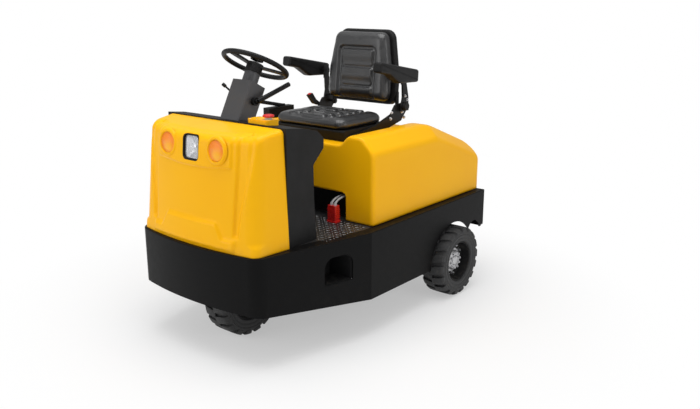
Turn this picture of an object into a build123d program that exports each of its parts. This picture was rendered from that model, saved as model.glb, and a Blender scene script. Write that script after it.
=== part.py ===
from build123d import *
import os
from math import atan2, cos, degrees, hypot, radians, sin, tan

os.makedirs("parts", exist_ok=True)

# Three-wheeled electric tow tractor, millimetres.
# +Z is up, -Y is the front, +X is the vehicle's left. The origin is on the ground
# under the middle of the overall length.

# Wheels
tyre_d = 415.0                      # rolling diameter of all three tyres
tyre_w = 150.0
rim_r = 121.0                       # bead seat of the 8 inch rim
wheel_base = 1168.0
front_axle_y = -619.0
rear_axle_y = front_axle_y + wheel_base
axle_z = tyre_d / 2
rear_tyre_x = 626.0                 # outer face of each rear tyre
run_gap = 0.05                      # radial clearance of shafts in bores
seat_gap = 0.3                      # clearance between pieces of different bodies
clear = 8.0                         # least gap round a moving piece

# Chassis skirt and deck
nose_y = -970.0
rear_y = 905.0                      # outer face of the rear plate
deck_z = 571.0
nose_half = 430.0                   # half width where the nose arc meets the sides
nose_rise = 55.0                    # how far the nose arc falls back at its ends
nose_corner_r = 85.0
crease_y = -254.0                   # where the nose section meets the side plates
crease_half = 576.0
rear_half = 564.0
skirt_t = 8.0
flange_w = 62.0
flange_t = 10.0
rim_edge_r = 5.0
skirt_front_z = 287.0
skirt_crease_z = 209.0
skirt_rear_z = 200.0
arch_r = tyre_d / 2 + 24.0
notch_r = 75.0
notch_y = 790.0
notch_z = 322.0
rear_plate_t = 25.0
rear_plate_bottom = 340.0
deck_gap = 0.3

# Foot holes in the nose section
step_y0 = -545.0
step_y1 = -372.0
step_z0 = 352.0
step_z1 = 492.0
step_corner_r = 55.0

# Frame below the deck
rail_x = 290.0
rail_w = 60.0
rail_h = 100.0
rail_front_y = -880.0
cross_t = 25.0
kingpin_r = 50.0
turntable_r = 150.0
turntable_t = 20.0
tyre_roof_gap = 16.0
fork_leg_t = 16.0
fork_leg_gap = 14.0
fork_end_r = 48.0
front_shaft_r = 16.0
rear_shaft_r = 22.0
axle_tube_r = 42.0

# Front cowl
cowl_base_y = -949.0
cowl_top_y = -898.0
cowl_base_half = 432.0
cowl_top_half = 410.0
cowl_rear_y = -704.0
cowl_rise = 42.0
cowl_corner_r = 62.0
cowl_top_z = 1112.0                 # height of the front top edge
cowl_back_z = 1140.0                # height where the top meets the dash
cowl_t = 5.0
cowl_edge_r = 24.0

# Lamps
lamp_x = 175.0
lamp_z = 1043.0
lamp_r = 50.0
lamp_depth = 22.0
bezel_w = 9.0
bezel_h = 7.0
headlamp_w = 112.0
headlamp_h = 122.0
headlamp_z = 1040.0
headlamp_r = 22.0

# Dash console behind the cowl
dash_half = 426.0
dash_front_y = cowl_rear_y
dash_back_y = -516.0
dash_roll_y = -446.0
dash_top_z = 1146.0
dash_roll_z = 1030.0
dash_t = 5.0

# Steering column and wheel
steer_tilt = 27.6                   # column axis, degrees back from upright
wheel_y = -475.0
wheel_z = 1396.0
steering_r = 164.0
grip_r = 12.5
hub_r = 42.0
hub_h = 46.0
column_w = 136.0
column_d = 108.0
column_top = 102.0                  # distance of the box's top below the wheel's plane
collar_r = 40.0

# Hood
hood_front_y = -174.0
hood_rear_y = 896.0
hood_half = 520.0
hood_z0 = 575.0
hood_top_z = 1031.0
hood_break_y = 425.0
hood_rear_z = 852.0
hood_bevel_x = 78.0
hood_bevel_z = 78.0
hood_rear_bevel = 48.0
hood_corner_r = 60.0
hood_t = 6.0
trough_half = 300.0
trough_top_half = 352.0
trough_z = 976.0
hood_mouth_half = 340.0
hood_mouth_z = 725.0
hood_mouth_r = 26.0
hood_hinge_y = 915.0
hood_hinge_z = 592.0
hood_hinge_x = 300.0

# Seat
pan_half = 268.0
pan_front_y = -104.0
pan_z0 = trough_z + seat_gap
pan_z1 = 1034.0
cushion_half = 268.0
cushion_front_y = -116.0
cushion_rear_y = 284.0
cushion_z1 = 1098.0
back_tilt = 6.0
back_y = 384.0
back_z0 = 1122.0
back_half = 240.0
back_top_half = 196.0
back_h = 424.0
back_shoulder = 200.0
back_cushion_t = 76.0
back_shell_t = 34.0
arm_x = 335.0
arm_w = 60.0
arm_pivot_y = 402.0
arm_pivot_z = 1288.0

# Battery and tow coupling
battery_half = 330.0
battery_y0 = -90.0
battery_y1 = 560.0
battery_z1 = 900.0
jaw_y = 946.0
jaw_z = 372.0
jaw_gap = 62.0
jaw_t = 16.0
tow_pin_r = 12.5

lean = Plane(origin=(0, wheel_y, wheel_z), x_dir=(1, 0, 0),
             z_dir=(0, sin(radians(steer_tilt)), cos(radians(steer_tilt))))


def finish(piece, label):
    """Name a piece and write it."""
    piece.part.label = label
    export_step(piece.part, "parts/" + label + ".step")


def side_plane(x=0.0):
    """Side view: local x runs along Y and local y runs along Z."""
    return Plane(origin=(x, 0, 0), x_dir=(0, 1, 0), z_dir=(1, 0, 0))


def axle_plane(y, z):
    """Section through a wheel's axle: local x runs along X, local y is the radius."""
    return Plane(origin=(0, y, z), x_dir=(1, 0, 0), z_dir=(0, -1, 0))


def block(low, high, mode=Mode.ADD):
    """A box between two opposite corners, used in the part being built."""
    size = [high[i] - low[i] for i in range(3)]
    middle = [(high[i] + low[i]) / 2 for i in range(3)]
    with Locations(tuple(middle)):
        Box(*size, mode=mode)


# Chassis

def chassis_outline(inset=0.0):
    """Top view of the skirt, drawn inset by a wall."""
    nose_end_y = nose_y + nose_rise
    with BuildSketch() as outline:
        with BuildLine():
            ThreePointArc((-nose_half, nose_end_y), (0, nose_y), (nose_half, nose_end_y))
            Polyline((nose_half, nose_end_y), (crease_half, crease_y), (rear_half, rear_y),
                     (-rear_half, rear_y), (-crease_half, crease_y), (-nose_half, nose_end_y))
        make_face()
        fillet(outline.vertices().group_by(Axis.Y)[0], nose_corner_r)
        if inset:
            offset(amount=-inset)
    return outline.sketch


def skirt_panel(low, high, foot_holes):
    """The stretch of skirt and flange that lies inside one box."""
    with BuildPart() as panel:
        with BuildSketch(Plane.XY.offset(skirt_rear_z - 5)):
            add(chassis_outline())
        extrude(amount=deck_z - skirt_rear_z + 5)
        fillet(panel.edges().group_by(Axis.Z)[-1], rim_edge_r)
        with BuildSketch(Plane.XY.offset(skirt_rear_z - 5)):
            add(chassis_outline(skirt_t))
        extrude(amount=deck_z - skirt_rear_z + 5 - flange_t, mode=Mode.SUBTRACT)
        with BuildSketch(Plane.XY.offset(deck_z - flange_t)):
            add(chassis_outline(flange_w))
        extrude(amount=flange_t, mode=Mode.SUBTRACT)
        with BuildSketch(side_plane()):
            with BuildLine():
                Polyline((nose_y - 5, skirt_front_z), (crease_y, skirt_crease_z), (rear_y, skirt_rear_z),
                         (rear_y, deck_z + 5), (nose_y - 5, deck_z + 5), close=True)
            make_face()
            with Locations((rear_axle_y, axle_z)):
                Circle(arch_r, mode=Mode.SUBTRACT)
            with Locations((notch_y, notch_z)):
                Circle(notch_r, mode=Mode.SUBTRACT)
            with Locations(((notch_y - notch_r + rear_y) / 2, (skirt_rear_z + rear_plate_bottom) / 2)):
                Rectangle(rear_y - notch_y + notch_r, rear_plate_bottom - skirt_rear_z, mode=Mode.SUBTRACT)
            if foot_holes:
                with BuildLine():
                    Polyline((step_y0, step_z0), (step_y1, step_z0), (step_y1, step_z1 - step_corner_r))
                    RadiusArc((step_y1, step_z1 - step_corner_r), (step_y1 - step_corner_r, step_z1),
                              -step_corner_r)
                    Line((step_y1 - step_corner_r, step_z1), (step_y0 + step_corner_r, step_z1))
                    RadiusArc((step_y0 + step_corner_r, step_z1), (step_y0, step_z1 - step_corner_r),
                              -step_corner_r)
                    Line((step_y0, step_z1 - step_corner_r), (step_y0, step_z0))
                make_face(mode=Mode.SUBTRACT)
        extrude(amount=rear_half * 2, both=True, mode=Mode.INTERSECT)
        block(low, high, Mode.INTERSECT)
    return panel


wide = 2 * crease_half
panel_rear_y = rear_y - rear_plate_t
finish(skirt_panel((-wide, nose_y - 10, 0), (wide, crease_y, deck_z + 10), True), "front_skirt")
for side, sign in (("left", 1), ("right", -1)):
    low_x, high_x = sorted((0, sign * wide))
    finish(skirt_panel((low_x, crease_y, 0), (high_x, panel_rear_y, deck_z + 10), False), side + "_side_panel")

with BuildPart() as rear_plate:
    with BuildSketch(Plane.XZ.offset(-rear_y)) as plate_face:
        with Locations((0, (rear_plate_bottom + deck_z) / 2)):
            Rectangle(2 * rear_half, deck_z - rear_plate_bottom)
        fillet(plate_face.vertices().group_by(Axis.Y)[0], 14)
    extrude(amount=rear_plate_t)
    chamfer(rear_plate.edges().filter_by(Axis.X).group_by(Axis.Z)[-1], 3)
finish(rear_plate, "rear_plate")

deck_front_y = nose_y + nose_rise
with BuildPart() as deck_plate:
    with BuildSketch(Plane.XY.offset(deck_z - flange_t)):
        add(chassis_outline(flange_w + deck_gap))
        with Locations((0, panel_rear_y + wide / 2)):
            Rectangle(2 * wide, wide, mode=Mode.SUBTRACT)
    extrude(amount=flange_t)
finish(deck_plate, "deck_plate")

rail_top = deck_z - flange_t
rail_bottom = rail_top - rail_h
turntable_z = 2 * axle_z + tyre_roof_gap
bearing_z = rail_bottom + 45
inner_half = crease_half - 60
with BuildPart() as main_frame:
    for sign in (1, -1):
        block((sign * rail_x - rail_w / 2, rail_front_y, rail_bottom),
              (sign * rail_x + rail_w / 2, panel_rear_y, rail_top))
        block((sign * rail_x - rail_w / 3, rear_axle_y - 55, axle_z),
              (sign * rail_x + rail_w / 3, rear_axle_y + 55, rail_bottom))
    block((-rail_x, front_axle_y - turntable_r, bearing_z), (rail_x, front_axle_y + turntable_r, bearing_z + cross_t))
    for y in (rail_front_y + 40, crease_y, 120.0, panel_rear_y - 40):
        block((-rail_x, y - 30, rail_bottom + 20), (rail_x, y + 30, rail_top - 15))
    with Locations((0, front_axle_y, bearing_z + cross_t / 2)):
        Cylinder(kingpin_r + run_gap, 2 * cross_t, mode=Mode.SUBTRACT)
    with Locations((0, rear_axle_y, axle_z)):
        Cylinder(axle_tube_r + seat_gap, 3 * rail_x, rotation=(0, 90, 0), mode=Mode.SUBTRACT)
finish(main_frame, "main_frame")

# Running gear

def spin(points, y, z, x_sign=1):
    """Turn a profile of (x, radius) points round a wheel's axle."""
    with BuildPart() as turned:
        with BuildSketch(axle_plane(y, z)):
            with BuildLine():
                Polyline([(x_sign * x, r) for x, r in points], close=True)
            make_face()
        revolve(axis=Axis((0, y, z), (1, 0, 0)))
    return turned


def tyre(y, z, x_mid, label):
    """Solid block-tread tyre on its bead seat."""
    half = tyre_w / 2
    r = tyre_d / 2
    with BuildPart() as rubber:
        with BuildSketch(axle_plane(y, z)):
            with Locations((x_mid, (r + rim_r) / 2)):
                Rectangle(tyre_w, r - rim_r)
            corners = rubber.pending_faces if False else None
        revolve(axis=Axis((0, y, z), (1, 0, 0)))
        fillet(rubber.edges().filter_by(GeomType.CIRCLE).sort_by(lambda e: e.radius)[-2:], 16)
    finish(rubber, label)


def wheel_rim(y, z, x_mid, x_sign, bore_r, label):
    """Steel rim: flanges, barrel and a dished disc round the hub."""
    half = tyre_w / 2
    fit = seat_gap / 3
    profile = [(-half + 12, rim_r - fit), (-half + 12, rim_r - 12), (10, rim_r - 16), (10, 60),
               (-4, 60), (-4, bore_r), (-16, bore_r), (-16, 72), (-2, 84), (-2, rim_r - 16),
               (half - 16, rim_r - 12), (half - 16, rim_r - fit)]
    del profile[9]
    with BuildPart() as rim:
        with BuildSketch(axle_plane(y, z)):
            with BuildLine():
                Polyline([(x_mid + x_sign * x, r) for x, r in
                          [(-half + 12, rim_r - fit), (half - 14, rim_r - fit), (half - 14, rim_r - 8),
                           (14, rim_r - 14), (6, rim_r - 24), (6, bore_r), (-8, bore_r),
                           (-8, rim_r - 14), (-half + 12, rim_r - 8)]], close=True)
            make_face()
        revolve(axis=Axis((0, y, z), (1, 0, 0)))
    finish(rim, label)


rear_mid = rear_tyre_x - tyre_w / 2
hub_out = 20.0
hub_flange_r = 58.0
for side, sign in (("left", 1), ("right", -1)):
    x_mid = sign * rear_mid
    tyre(rear_axle_y, axle_z, x_mid, "rear_" + side + "_tyre")
    wheel_rim(rear_axle_y, axle_z, x_mid, sign, 46.0, "rear_" + side + "_rim")
    hub = spin([(rear_mid + 6.1, rear_shaft_r + run_gap), (rear_mid + 6.1, hub_flange_r + 14),
                (rear_mid + 16, hub_flange_r + 14), (rear_mid + 16, hub_flange_r),
                (rear_mid + 6 + hub_out, hub_flange_r), (rear_mid + 14 + hub_out, hub_flange_r - 8),
                (rear_mid + 14 + hub_out, rear_shaft_r + run_gap)], rear_axle_y, axle_z, sign)
    finish(hub, "rear_" + side + "_hub")
tyre(front_axle_y, axle_z, 0, "front_tyre")
wheel_rim(front_axle_y, axle_z, 0, 1, front_shaft_r + run_gap, "front_rim")

with BuildPart() as rear_axle:
    with Locations((0, rear_axle_y, axle_z)):
        Cylinder(axle_tube_r, 2 * (rear_mid - tyre_w / 2 + 46), rotation=(0, 90, 0))
        Cylinder(rear_shaft_r, 2 * (rear_mid + 12 + hub_out), rotation=(0, 90, 0))
        Sphere(110)
    with Locations((0, rear_axle_y - 190, axle_z + 40)):
        Cylinder(95, 260, rotation=(90, 0, 0))
finish(rear_axle, "rear_axle")

leg_x = tyre_w / 2 + fork_leg_gap
with BuildPart() as front_fork:
    with Locations((0, front_axle_y, turntable_z + turntable_t / 2)):
        Cylinder(turntable_r, turntable_t)
    with Locations((0, front_axle_y, (turntable_z + turntable_t + bearing_z + cross_t + 12) / 2)):
        Cylinder(kingpin_r, bearing_z + cross_t + 12 - turntable_z - turntable_t)
    with Locations((0, front_axle_y, (turntable_z + turntable_t + bearing_z - seat_gap) / 2)):
        Cylinder(kingpin_r + 40, bearing_z - seat_gap - turntable_z - turntable_t)
    for sign in (1, -1):
        with BuildSketch(side_plane(sign * leg_x if sign > 0 else -leg_x - fork_leg_t)):
            with Locations((front_axle_y, axle_z)):
                Circle(fork_end_r)
            with BuildLine():
                Polyline((front_axle_y - fork_end_r, axle_z), (front_axle_y + fork_end_r, axle_z),
                         (front_axle_y + 75, turntable_z), (front_axle_y - 75, turntable_z), close=True)
            make_face()
        extrude(amount=fork_leg_t)
    with Locations((0, front_axle_y, axle_z)):
        Cylinder(front_shaft_r, 2 * (leg_x + fork_leg_t + 8), rotation=(0, 90, 0))
finish(front_fork, "front_fork")

# Front cowl and lamps

def cowl_outline(y_front, half_front, half_rear, y_rear, rise, corner_r):
    """Top view of the cowl at one height."""
    with BuildSketch() as outline:
        with BuildLine():
            ThreePointArc((-half_front, y_front + rise), (0, y_front), (half_front, y_front + rise))
            Polyline((half_front, y_front + rise), (half_rear, y_rear), (-half_rear, y_rear),
                     (-half_front, y_front + rise))
        make_face()
        fillet(outline.vertices().group_by(Axis.Y)[0], corner_r)
    return outline.sketch


cowl_loft_z = cowl_back_z + 40
cowl_lean = (cowl_top_y - cowl_base_y) / (cowl_top_z - deck_z)


def cowl_body(inset):
    """Closed cowl form, drawn inset by a wall."""
    lift = cowl_lean * (cowl_loft_z - cowl_top_z)
    with BuildPart() as body:
        with BuildSketch(Plane.XY.offset(deck_z)):
            add(cowl_outline(cowl_base_y + inset, cowl_base_half - 16 - inset, cowl_base_half - inset,
                             cowl_rear_y, cowl_rise, cowl_corner_r - inset))
        with BuildSketch(Plane.XY.offset(cowl_loft_z)):
            add(cowl_outline(cowl_top_y + lift + inset, cowl_top_half - 14 - inset, cowl_top_half - inset,
                             cowl_rear_y, cowl_rise, cowl_corner_r - inset))
        loft(ruled=True)
        with BuildSketch(side_plane()):
            with BuildLine():
                Polyline((cowl_top_y - 200, cowl_top_z - 200 * roof_slope - inset),
                         (cowl_rear_y + 50, cowl_back_z + 50 * roof_slope - inset),
                         (cowl_rear_y + 50, cowl_loft_z + 50), (cowl_top_y - 200, cowl_loft_z + 50),
                         close=True)
            make_face()
        extrude(amount=2 * cowl_base_half, both=True, mode=Mode.SUBTRACT)
        roof = body.faces().sort_by(Axis.Z)[-1]
        rims = [e for e in roof.edges() if e.center().Y < cowl_rear_y - 1]
        fillet(rims, cowl_edge_r - inset)
    return body.part


roof_slope = (cowl_back_z - cowl_top_z) / (cowl_rear_y - cowl_top_y)
cowl_tilt = degrees(atan2(cowl_top_y - cowl_base_y, cowl_top_z - deck_z))


def cowl_front_y(z):
    """Front face of the cowl on the centre line, at one height."""
    return cowl_base_y + cowl_lean * (z - deck_z)


def cowl_face(x, z, out=0.0):
    """A plane on the leaning front face, local x along X and local y up the face."""
    t = radians(cowl_tilt)
    arc_r = (cowl_top_half ** 2 + cowl_rise ** 2) / (2 * cowl_rise)
    y = cowl_front_y(z) + arc_r - (arc_r ** 2 - x ** 2) ** 0.5
    normal = (0, -cos(t), sin(t))
    return Plane(origin=(x, y + out * normal[1], z + out * normal[2]), x_dir=(1, 0, 0), z_dir=normal)


lamp_places = ((-lamp_x, "right"), (lamp_x, "left"))
with BuildPart() as front_cowl:
    add(cowl_body(0.0))
    add(cowl_body(cowl_t), mode=Mode.SUBTRACT)
    for x, name in lamp_places:
        with BuildSketch(cowl_face(x, lamp_z, -2)):
            Circle(lamp_r + bezel_w)
        extrude(amount=bezel_h + 2)
        with BuildSketch(cowl_face(x, lamp_z, -40)):
            Circle(lamp_r + seat_gap)
        extrude(amount=80, mode=Mode.SUBTRACT)
    with BuildSketch(cowl_face(0, headlamp_z, -40)):
        RectangleRounded(headlamp_w + 2 * seat_gap, headlamp_h + 2 * seat_gap, headlamp_r)
    extrude(amount=80, mode=Mode.SUBTRACT)
finish(front_cowl, "front_cowl")

with BuildPart() as amber_lamps:
    for x, name in lamp_places:
        with BuildSketch(cowl_face(x, lamp_z, -lamp_depth)):
            Circle(lamp_r)
        extrude(amount=lamp_depth + 4)
    fillet(amber_lamps.faces().filter_by(lambda f: f.normal_at().Y < -0.9).edges(), 3.5)
finish(amber_lamps, "amber_lamps")

with BuildPart() as headlamp:
    with BuildSketch(cowl_face(0, headlamp_z, -34)):
        RectangleRounded(headlamp_w, headlamp_h, headlamp_r)
    extrude(amount=30)
finish(headlamp, "headlamp")

# Dash console

dash_points = [(dash_front_y + seat_gap, deck_z), (dash_front_y + seat_gap, dash_top_z),
               (-600, dash_top_z - 12), (-492, 1110), (dash_roll_y, 1068), (dash_roll_y, 1020),
               (-478, 990), (dash_back_y - 6, 948), (dash_back_y - 4, 780), (dash_back_y + 10, deck_z)]


def dash_section(inset=0.0):
    """Side view of the dash with its rolled rear edge."""
    with BuildSketch() as section:
        with BuildLine():
            Polyline(dash_points, close=True)
        make_face()
        fillet([v for v in section.vertices() if deck_z + 5 < v.Y < dash_top_z - 2], 14)
        if inset:
            offset(amount=-inset)
    return section.sketch


with BuildPart() as dash_console:
    with BuildSketch(side_plane(-dash_half)):
        add(dash_section())
    extrude(amount=2 * dash_half)
    with BuildSketch(side_plane(-dash_half + dash_t)):
        add(dash_section(dash_t))
    extrude(amount=2 * (dash_half - dash_t), mode=Mode.SUBTRACT)
    block((-dash_half + dash_t, dash_front_y + dash_t, deck_z - 1),
          (dash_half - dash_t, dash_back_y - dash_t - 6, deck_z + dash_t + 2), Mode.SUBTRACT)
finish(dash_console, "dash_console")

# Steering column, wheel and levers

column_foot = 175.0                 # length of the column box along its axis
with BuildPart() as steering_column:
    with BuildSketch(lean.offset(-column_top)):
        RectangleRounded(column_w, column_d, 8)
    extrude(amount=-column_foot - 90)
    with BuildSketch(side_plane()):
        with BuildLine():
            Polyline((dash_front_y + 3, dash_top_z + seat_gap), (-600, dash_top_z - 12 + seat_gap),
                     (-492, 1110 + seat_gap), (dash_roll_y, 1068), (dash_roll_y, 900), (-900, 900),
                     (-900, dash_top_z + seat_gap), close=True)
        make_face()
    extrude(amount=column_w, both=True, mode=Mode.SUBTRACT)
    with BuildSketch(lean.offset(-column_top)):
        Circle(collar_r)
    extrude(amount=column_top - hub_h - seat_gap)
finish(steering_column, "steering_column")

spoke_w = 34.0
with BuildPart() as steering_wheel:
    with BuildSketch(lean.offset(-hub_h)):
        Circle(hub_r)
    extrude(amount=hub_h + 4)
    with BuildSketch(Plane(origin=lean.origin, x_dir=lean.x_dir, z_dir=-lean.y_dir)):
        with Locations((steering_r, 0)):
            Circle(grip_r)
    revolve(axis=Axis(lean.origin, lean.z_dir))
    with BuildSketch(lean.offset(-14)):
        for angle in (0, 120, 240):
            with PolarLocations(steering_r / 2, 1, start_angle=angle - 90):
                Rectangle(steering_r, spoke_w)
    extrude(amount=10)
finish(steering_wheel, "steering_wheel")

lever_ball = (94.0, -556.0, 1228.0)
lever_end = (116.0, -356.0, 1296.0)


def rod(start, end, r):
    """A round bar between two points, added to the part being built."""
    run = Vector(*end) - Vector(*start)
    with Locations(Plane(origin=start, z_dir=run.normalized()).location):
        Cylinder(r, run.length, align=(Align.CENTER, Align.CENTER, Align.MIN))


with BuildPart() as direction_lever:
    rod((column_w / 2 + seat_gap, -560, 1226), (88, -560, 1226), 20)
    rod((88, -560, 1226), lever_ball, 13)
    rod(lever_ball, lever_end, 12)
finish(direction_lever, "direction_lever")

with BuildPart() as signal_lever:
    rod((-column_w / 2 - seat_gap, -556, 1262), (-100, -556, 1262), 5)
    rod((-100, -556, 1262), (-128, -566, 1286), 5)
    rod((-128, -566, 1286), (-142, -571, 1298), 9)
finish(signal_lever, "signal_lever")

stop_x = 222.0
stop_y = -648.0
stop_top = 1166.0
button_r = 28.0
with BuildPart() as emergency_stop_box:
    block((stop_x - 68, stop_y - 42, dash_top_z - 40), (stop_x + 68, stop_y + 42, stop_top))
    fillet(emergency_stop_box.edges().filter_by(Axis.Z), 14)
    with BuildSketch(side_plane()):
        with BuildLine():
            Polyline((dash_front_y - 40, dash_top_z + seat_gap), (dash_front_y + 3, dash_top_z + seat_gap),
                     (-600, dash_top_z - 12 + seat_gap), (-492, 1110 + seat_gap), (-492, 900),
                     (dash_front_y - 40, 900), close=True)
        make_face()
    extrude(amount=600, both=True, mode=Mode.SUBTRACT)
finish(emergency_stop_box, "emergency_stop_box")

with BuildPart() as emergency_stop_button:
    with Locations((stop_x + 36, stop_y, stop_top + seat_gap + 5)):
        Cylinder(button_r - 9, 10)
    with Locations((stop_x + 36, stop_y, stop_top + seat_gap + 17)):
        Cylinder(button_r, 14)
    fillet(emergency_stop_button.faces().sort_by(Axis.Z)[-1].edges(), 6)
finish(emergency_stop_button, "emergency_stop_button")

with BuildPart() as pedals:
    for x in (-70.0, 150.0):
        block((x - 40, dash_back_y + 12.5, deck_z), (x + 40, dash_back_y + 34, deck_z + 20))
        with BuildSketch(side_plane(x - 38)):
            with BuildLine():
                Polyline((dash_back_y + 14, deck_z + 20), (dash_back_y + 26, deck_z + 12),
                         (dash_back_y + 74, deck_z + 108), (dash_back_y + 62, deck_z + 116), close=True)
            make_face()
        extrude(amount=76)
finish(pedals, "pedals")

# Battery, its connector and the tow coupling

with BuildPart() as battery_block:
    block((-battery_half, battery_y0, deck_z), (battery_half, battery_y1, battery_z1))
    fillet(battery_block.edges().filter_by(Axis.Z), 12)
finish(battery_block, "battery_block")

plug_x = 298.0
plug_y = -226.0
plug_h = 92.0
with BuildPart() as battery_connector:
    block((plug_x - 27, plug_y - 19, deck_z), (plug_x + 27, plug_y + 19, deck_z + plug_h))
    fillet(battery_connector.edges().filter_by(Axis.Z), 5)
finish(battery_connector, "battery_connector")

lead_r = 5.5
lead_top = 38.0
with BuildPart() as battery_leads:
    for dx in (-12.0, 12.0):
        with BuildLine(Plane(origin=(plug_x + dx, 0, 0), x_dir=(0, 1, 0), z_dir=(1, 0, 0))) as lead:
            FilletPolyline((plug_y, deck_z + plug_h), (plug_y, deck_z + plug_h + lead_top),
                           (battery_y0, deck_z + plug_h + lead_top), radius=30)
        with BuildSketch(Plane(origin=lead.line @ 0, z_dir=lead.line % 0)):
            Circle(lead_r)
        sweep(path=lead.line)
finish(battery_leads, "battery_leads")

jaw_depth = 970.0 - rear_y
with BuildPart() as tow_hitch:
    block((-80, rear_y, jaw_z - jaw_gap / 2 - 50), (80, rear_y + 14, jaw_z + jaw_gap / 2 + 50))
    for z in (jaw_z - jaw_gap / 2 - jaw_t, jaw_z + jaw_gap / 2):
        with BuildSketch(Plane.XY.offset(z)):
            with Locations((0, rear_y + 14)):
                Rectangle(100, 20)
            with BuildLine():
                Polyline((-50, rear_y + 10), (50, rear_y + 10), (50, jaw_y - 6), (-50, jaw_y - 6), close=True)
            make_face()
            with Locations((0, jaw_y - 8)):
                Circle(32)
            with Locations((0, jaw_y)):
                Circle(tow_pin_r + 0.5, mode=Mode.SUBTRACT)
        extrude(amount=jaw_t)
    block((-60, rear_y - 60, jaw_z - 20), (60, rear_y, jaw_z + 90), Mode.SUBTRACT)
finish(tow_hitch, "tow_hitch")

# Hood

def hood_section(drop, inset):
    """Side view of the hood, its top lowered where the side bevel ends."""
    slope = (hood_rear_z - hood_top_z) / (hood_rear_y - hood_break_y)
    y0 = hood_front_y + inset
    y1 = hood_rear_y - inset
    top = hood_top_z - inset - drop
    rear_top = hood_rear_z - inset - drop - slope * inset
    with BuildSketch() as section:
        with BuildLine():
            Polyline((y0, hood_z0), (y0, top), (hood_break_y, top),
                     (y1 - hood_rear_bevel, rear_top - slope * hood_rear_bevel),
                     (y1, rear_top - hood_rear_bevel), (y1, hood_z0), close=True)
        make_face()
    return section.sketch


def hood_body(inset):
    """Closed hood form with its bevels and the trough for the seat, drawn inset by a wall."""
    half = hood_half - inset
    inner = half - hood_bevel_x
    with BuildPart() as body:
        with BuildSketch(side_plane(-inner)):
            add(hood_section(0, inset))
        extrude(amount=2 * inner)
        for sign in (1, -1):
            with BuildSketch(side_plane(sign * inner)):
                add(hood_section(0, inset))
            with BuildSketch(side_plane(sign * half)):
                add(hood_section(hood_bevel_z, inset))
            loft(ruled=True)
        with BuildSketch(Plane.XY.offset(hood_z0)) as plan:
            with Locations((0, (hood_front_y + hood_rear_y) / 2)):
                Rectangle(2 * half, hood_rear_y - hood_front_y - 2 * inset)
            fillet(plan.vertices().group_by(Axis.Y)[0], hood_corner_r - inset)
            fillet(plan.vertices().group_by(Axis.Y)[-1], hood_rear_corner_r - inset)
        extrude(amount=hood_top_z, mode=Mode.INTERSECT)
        with BuildSketch(Plane.XZ.offset(-hood_front_y + 40)):
            with BuildLine():
                Polyline((-trough_half - inset, trough_z - inset), (trough_half + inset, trough_z - inset),
                         (trough_top_half + inset, hood_top_z + 1), (-trough_top_half - inset, hood_top_z + 1),
                         close=True)
            make_face()
        extrude(amount=hood_front_y - hood_rear_y - 80, mode=Mode.SUBTRACT)
    return body.part


hood_rear_corner_r = 30.0
with BuildPart() as hood_shell:
    add(hood_body(0.0))
    add(hood_body(hood_t), mode=Mode.SUBTRACT)
    with BuildSketch(Plane.XZ.offset(-hood_front_y - 20)) as mouth:
        with Locations((0, (hood_z0 - 60 + hood_mouth_z) / 2)):
            RectangleRounded(2 * hood_mouth_half, hood_mouth_z - hood_z0 + 60, hood_mouth_r)
    extrude(amount=40, mode=Mode.SUBTRACT)
finish(hood_shell, "hood_shell")

with BuildPart() as hood_hinges:
    for x in (-hood_hinge_x, hood_hinge_x):
        block((x - 30, rear_y, deck_z - 70), (x + 30, rear_y + 5, hood_hinge_z - 18))
        with Locations((x, hood_hinge_y, hood_hinge_z)):
            Cylinder(5, 60, rotation=(0, 90, 0))
        for dx in (-22, 22):
            block((x + dx - 8, rear_y, hood_hinge_z - 20), (x + dx + 8, hood_hinge_y + 8, hood_hinge_z - 2))
            with Locations((x + dx, hood_hinge_y, hood_hinge_z)):
                Cylinder(9, 16, rotation=(0, 90, 0))
finish(hood_hinges, "hood_hinges")

with BuildPart() as hood_hinge_leaves:
    for x in (-hood_hinge_x, hood_hinge_x):
        block((x - 28, hood_rear_y, hood_z0 + 30), (x + 28, hood_rear_y + 4, hood_z0 + 90))
        block((x - 13, hood_rear_y, hood_hinge_z - 4), (x + 13, hood_hinge_y, hood_hinge_z + 9))
        block((x - 13, hood_rear_y, hood_hinge_z - 4), (x + 13, hood_rear_y + 4, hood_z0 + 32))
        with Locations((x, hood_hinge_y, hood_hinge_z)):
            Cylinder(9, 26, rotation=(0, 90, 0))
            Cylinder(5 + run_gap, 80, rotation=(0, 90, 0), mode=Mode.SUBTRACT)
finish(hood_hinge_leaves, "hood_hinge_leaves")

# Seat

with BuildPart() as seat_pan:
    with BuildSketch(side_plane(-pan_half)) as pan_side:
        with BuildLine():
            Polyline((pan_front_y + 14, pan_z0), (pan_front_y, pan_z1), (cushion_rear_y + 10, pan_z1),
                     (cushion_rear_y + 40, pan_z1 - 14), (230, pan_z0), close=True)
        make_face()
    extrude(amount=2 * pan_half)
    fillet(seat_pan.edges().filter_by(Axis.X).group_by(Axis.Y)[0], 8)
finish(seat_pan, "seat_pan")

with BuildPart() as seat_cushion:
    with BuildSketch(Plane.XY.offset(pan_z1 + seat_gap)) as cushion_plan:
        with Locations((0, (cushion_front_y + cushion_rear_y) / 2)):
            Rectangle(2 * cushion_half, cushion_rear_y - cushion_front_y)
        fillet(cushion_plan.vertices(), 60)
    extrude(amount=cushion_z1 - pan_z1 - seat_gap)
    fillet(seat_cushion.faces().sort_by(Axis.Z)[-1].edges(), 26)
finish(seat_cushion, "seat_cushion")

back_plane = Plane(origin=(0, back_y, back_z0), x_dir=(1, 0, 0),
                   z_dir=(0, -cos(radians(back_tilt)), sin(radians(back_tilt))))


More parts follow.
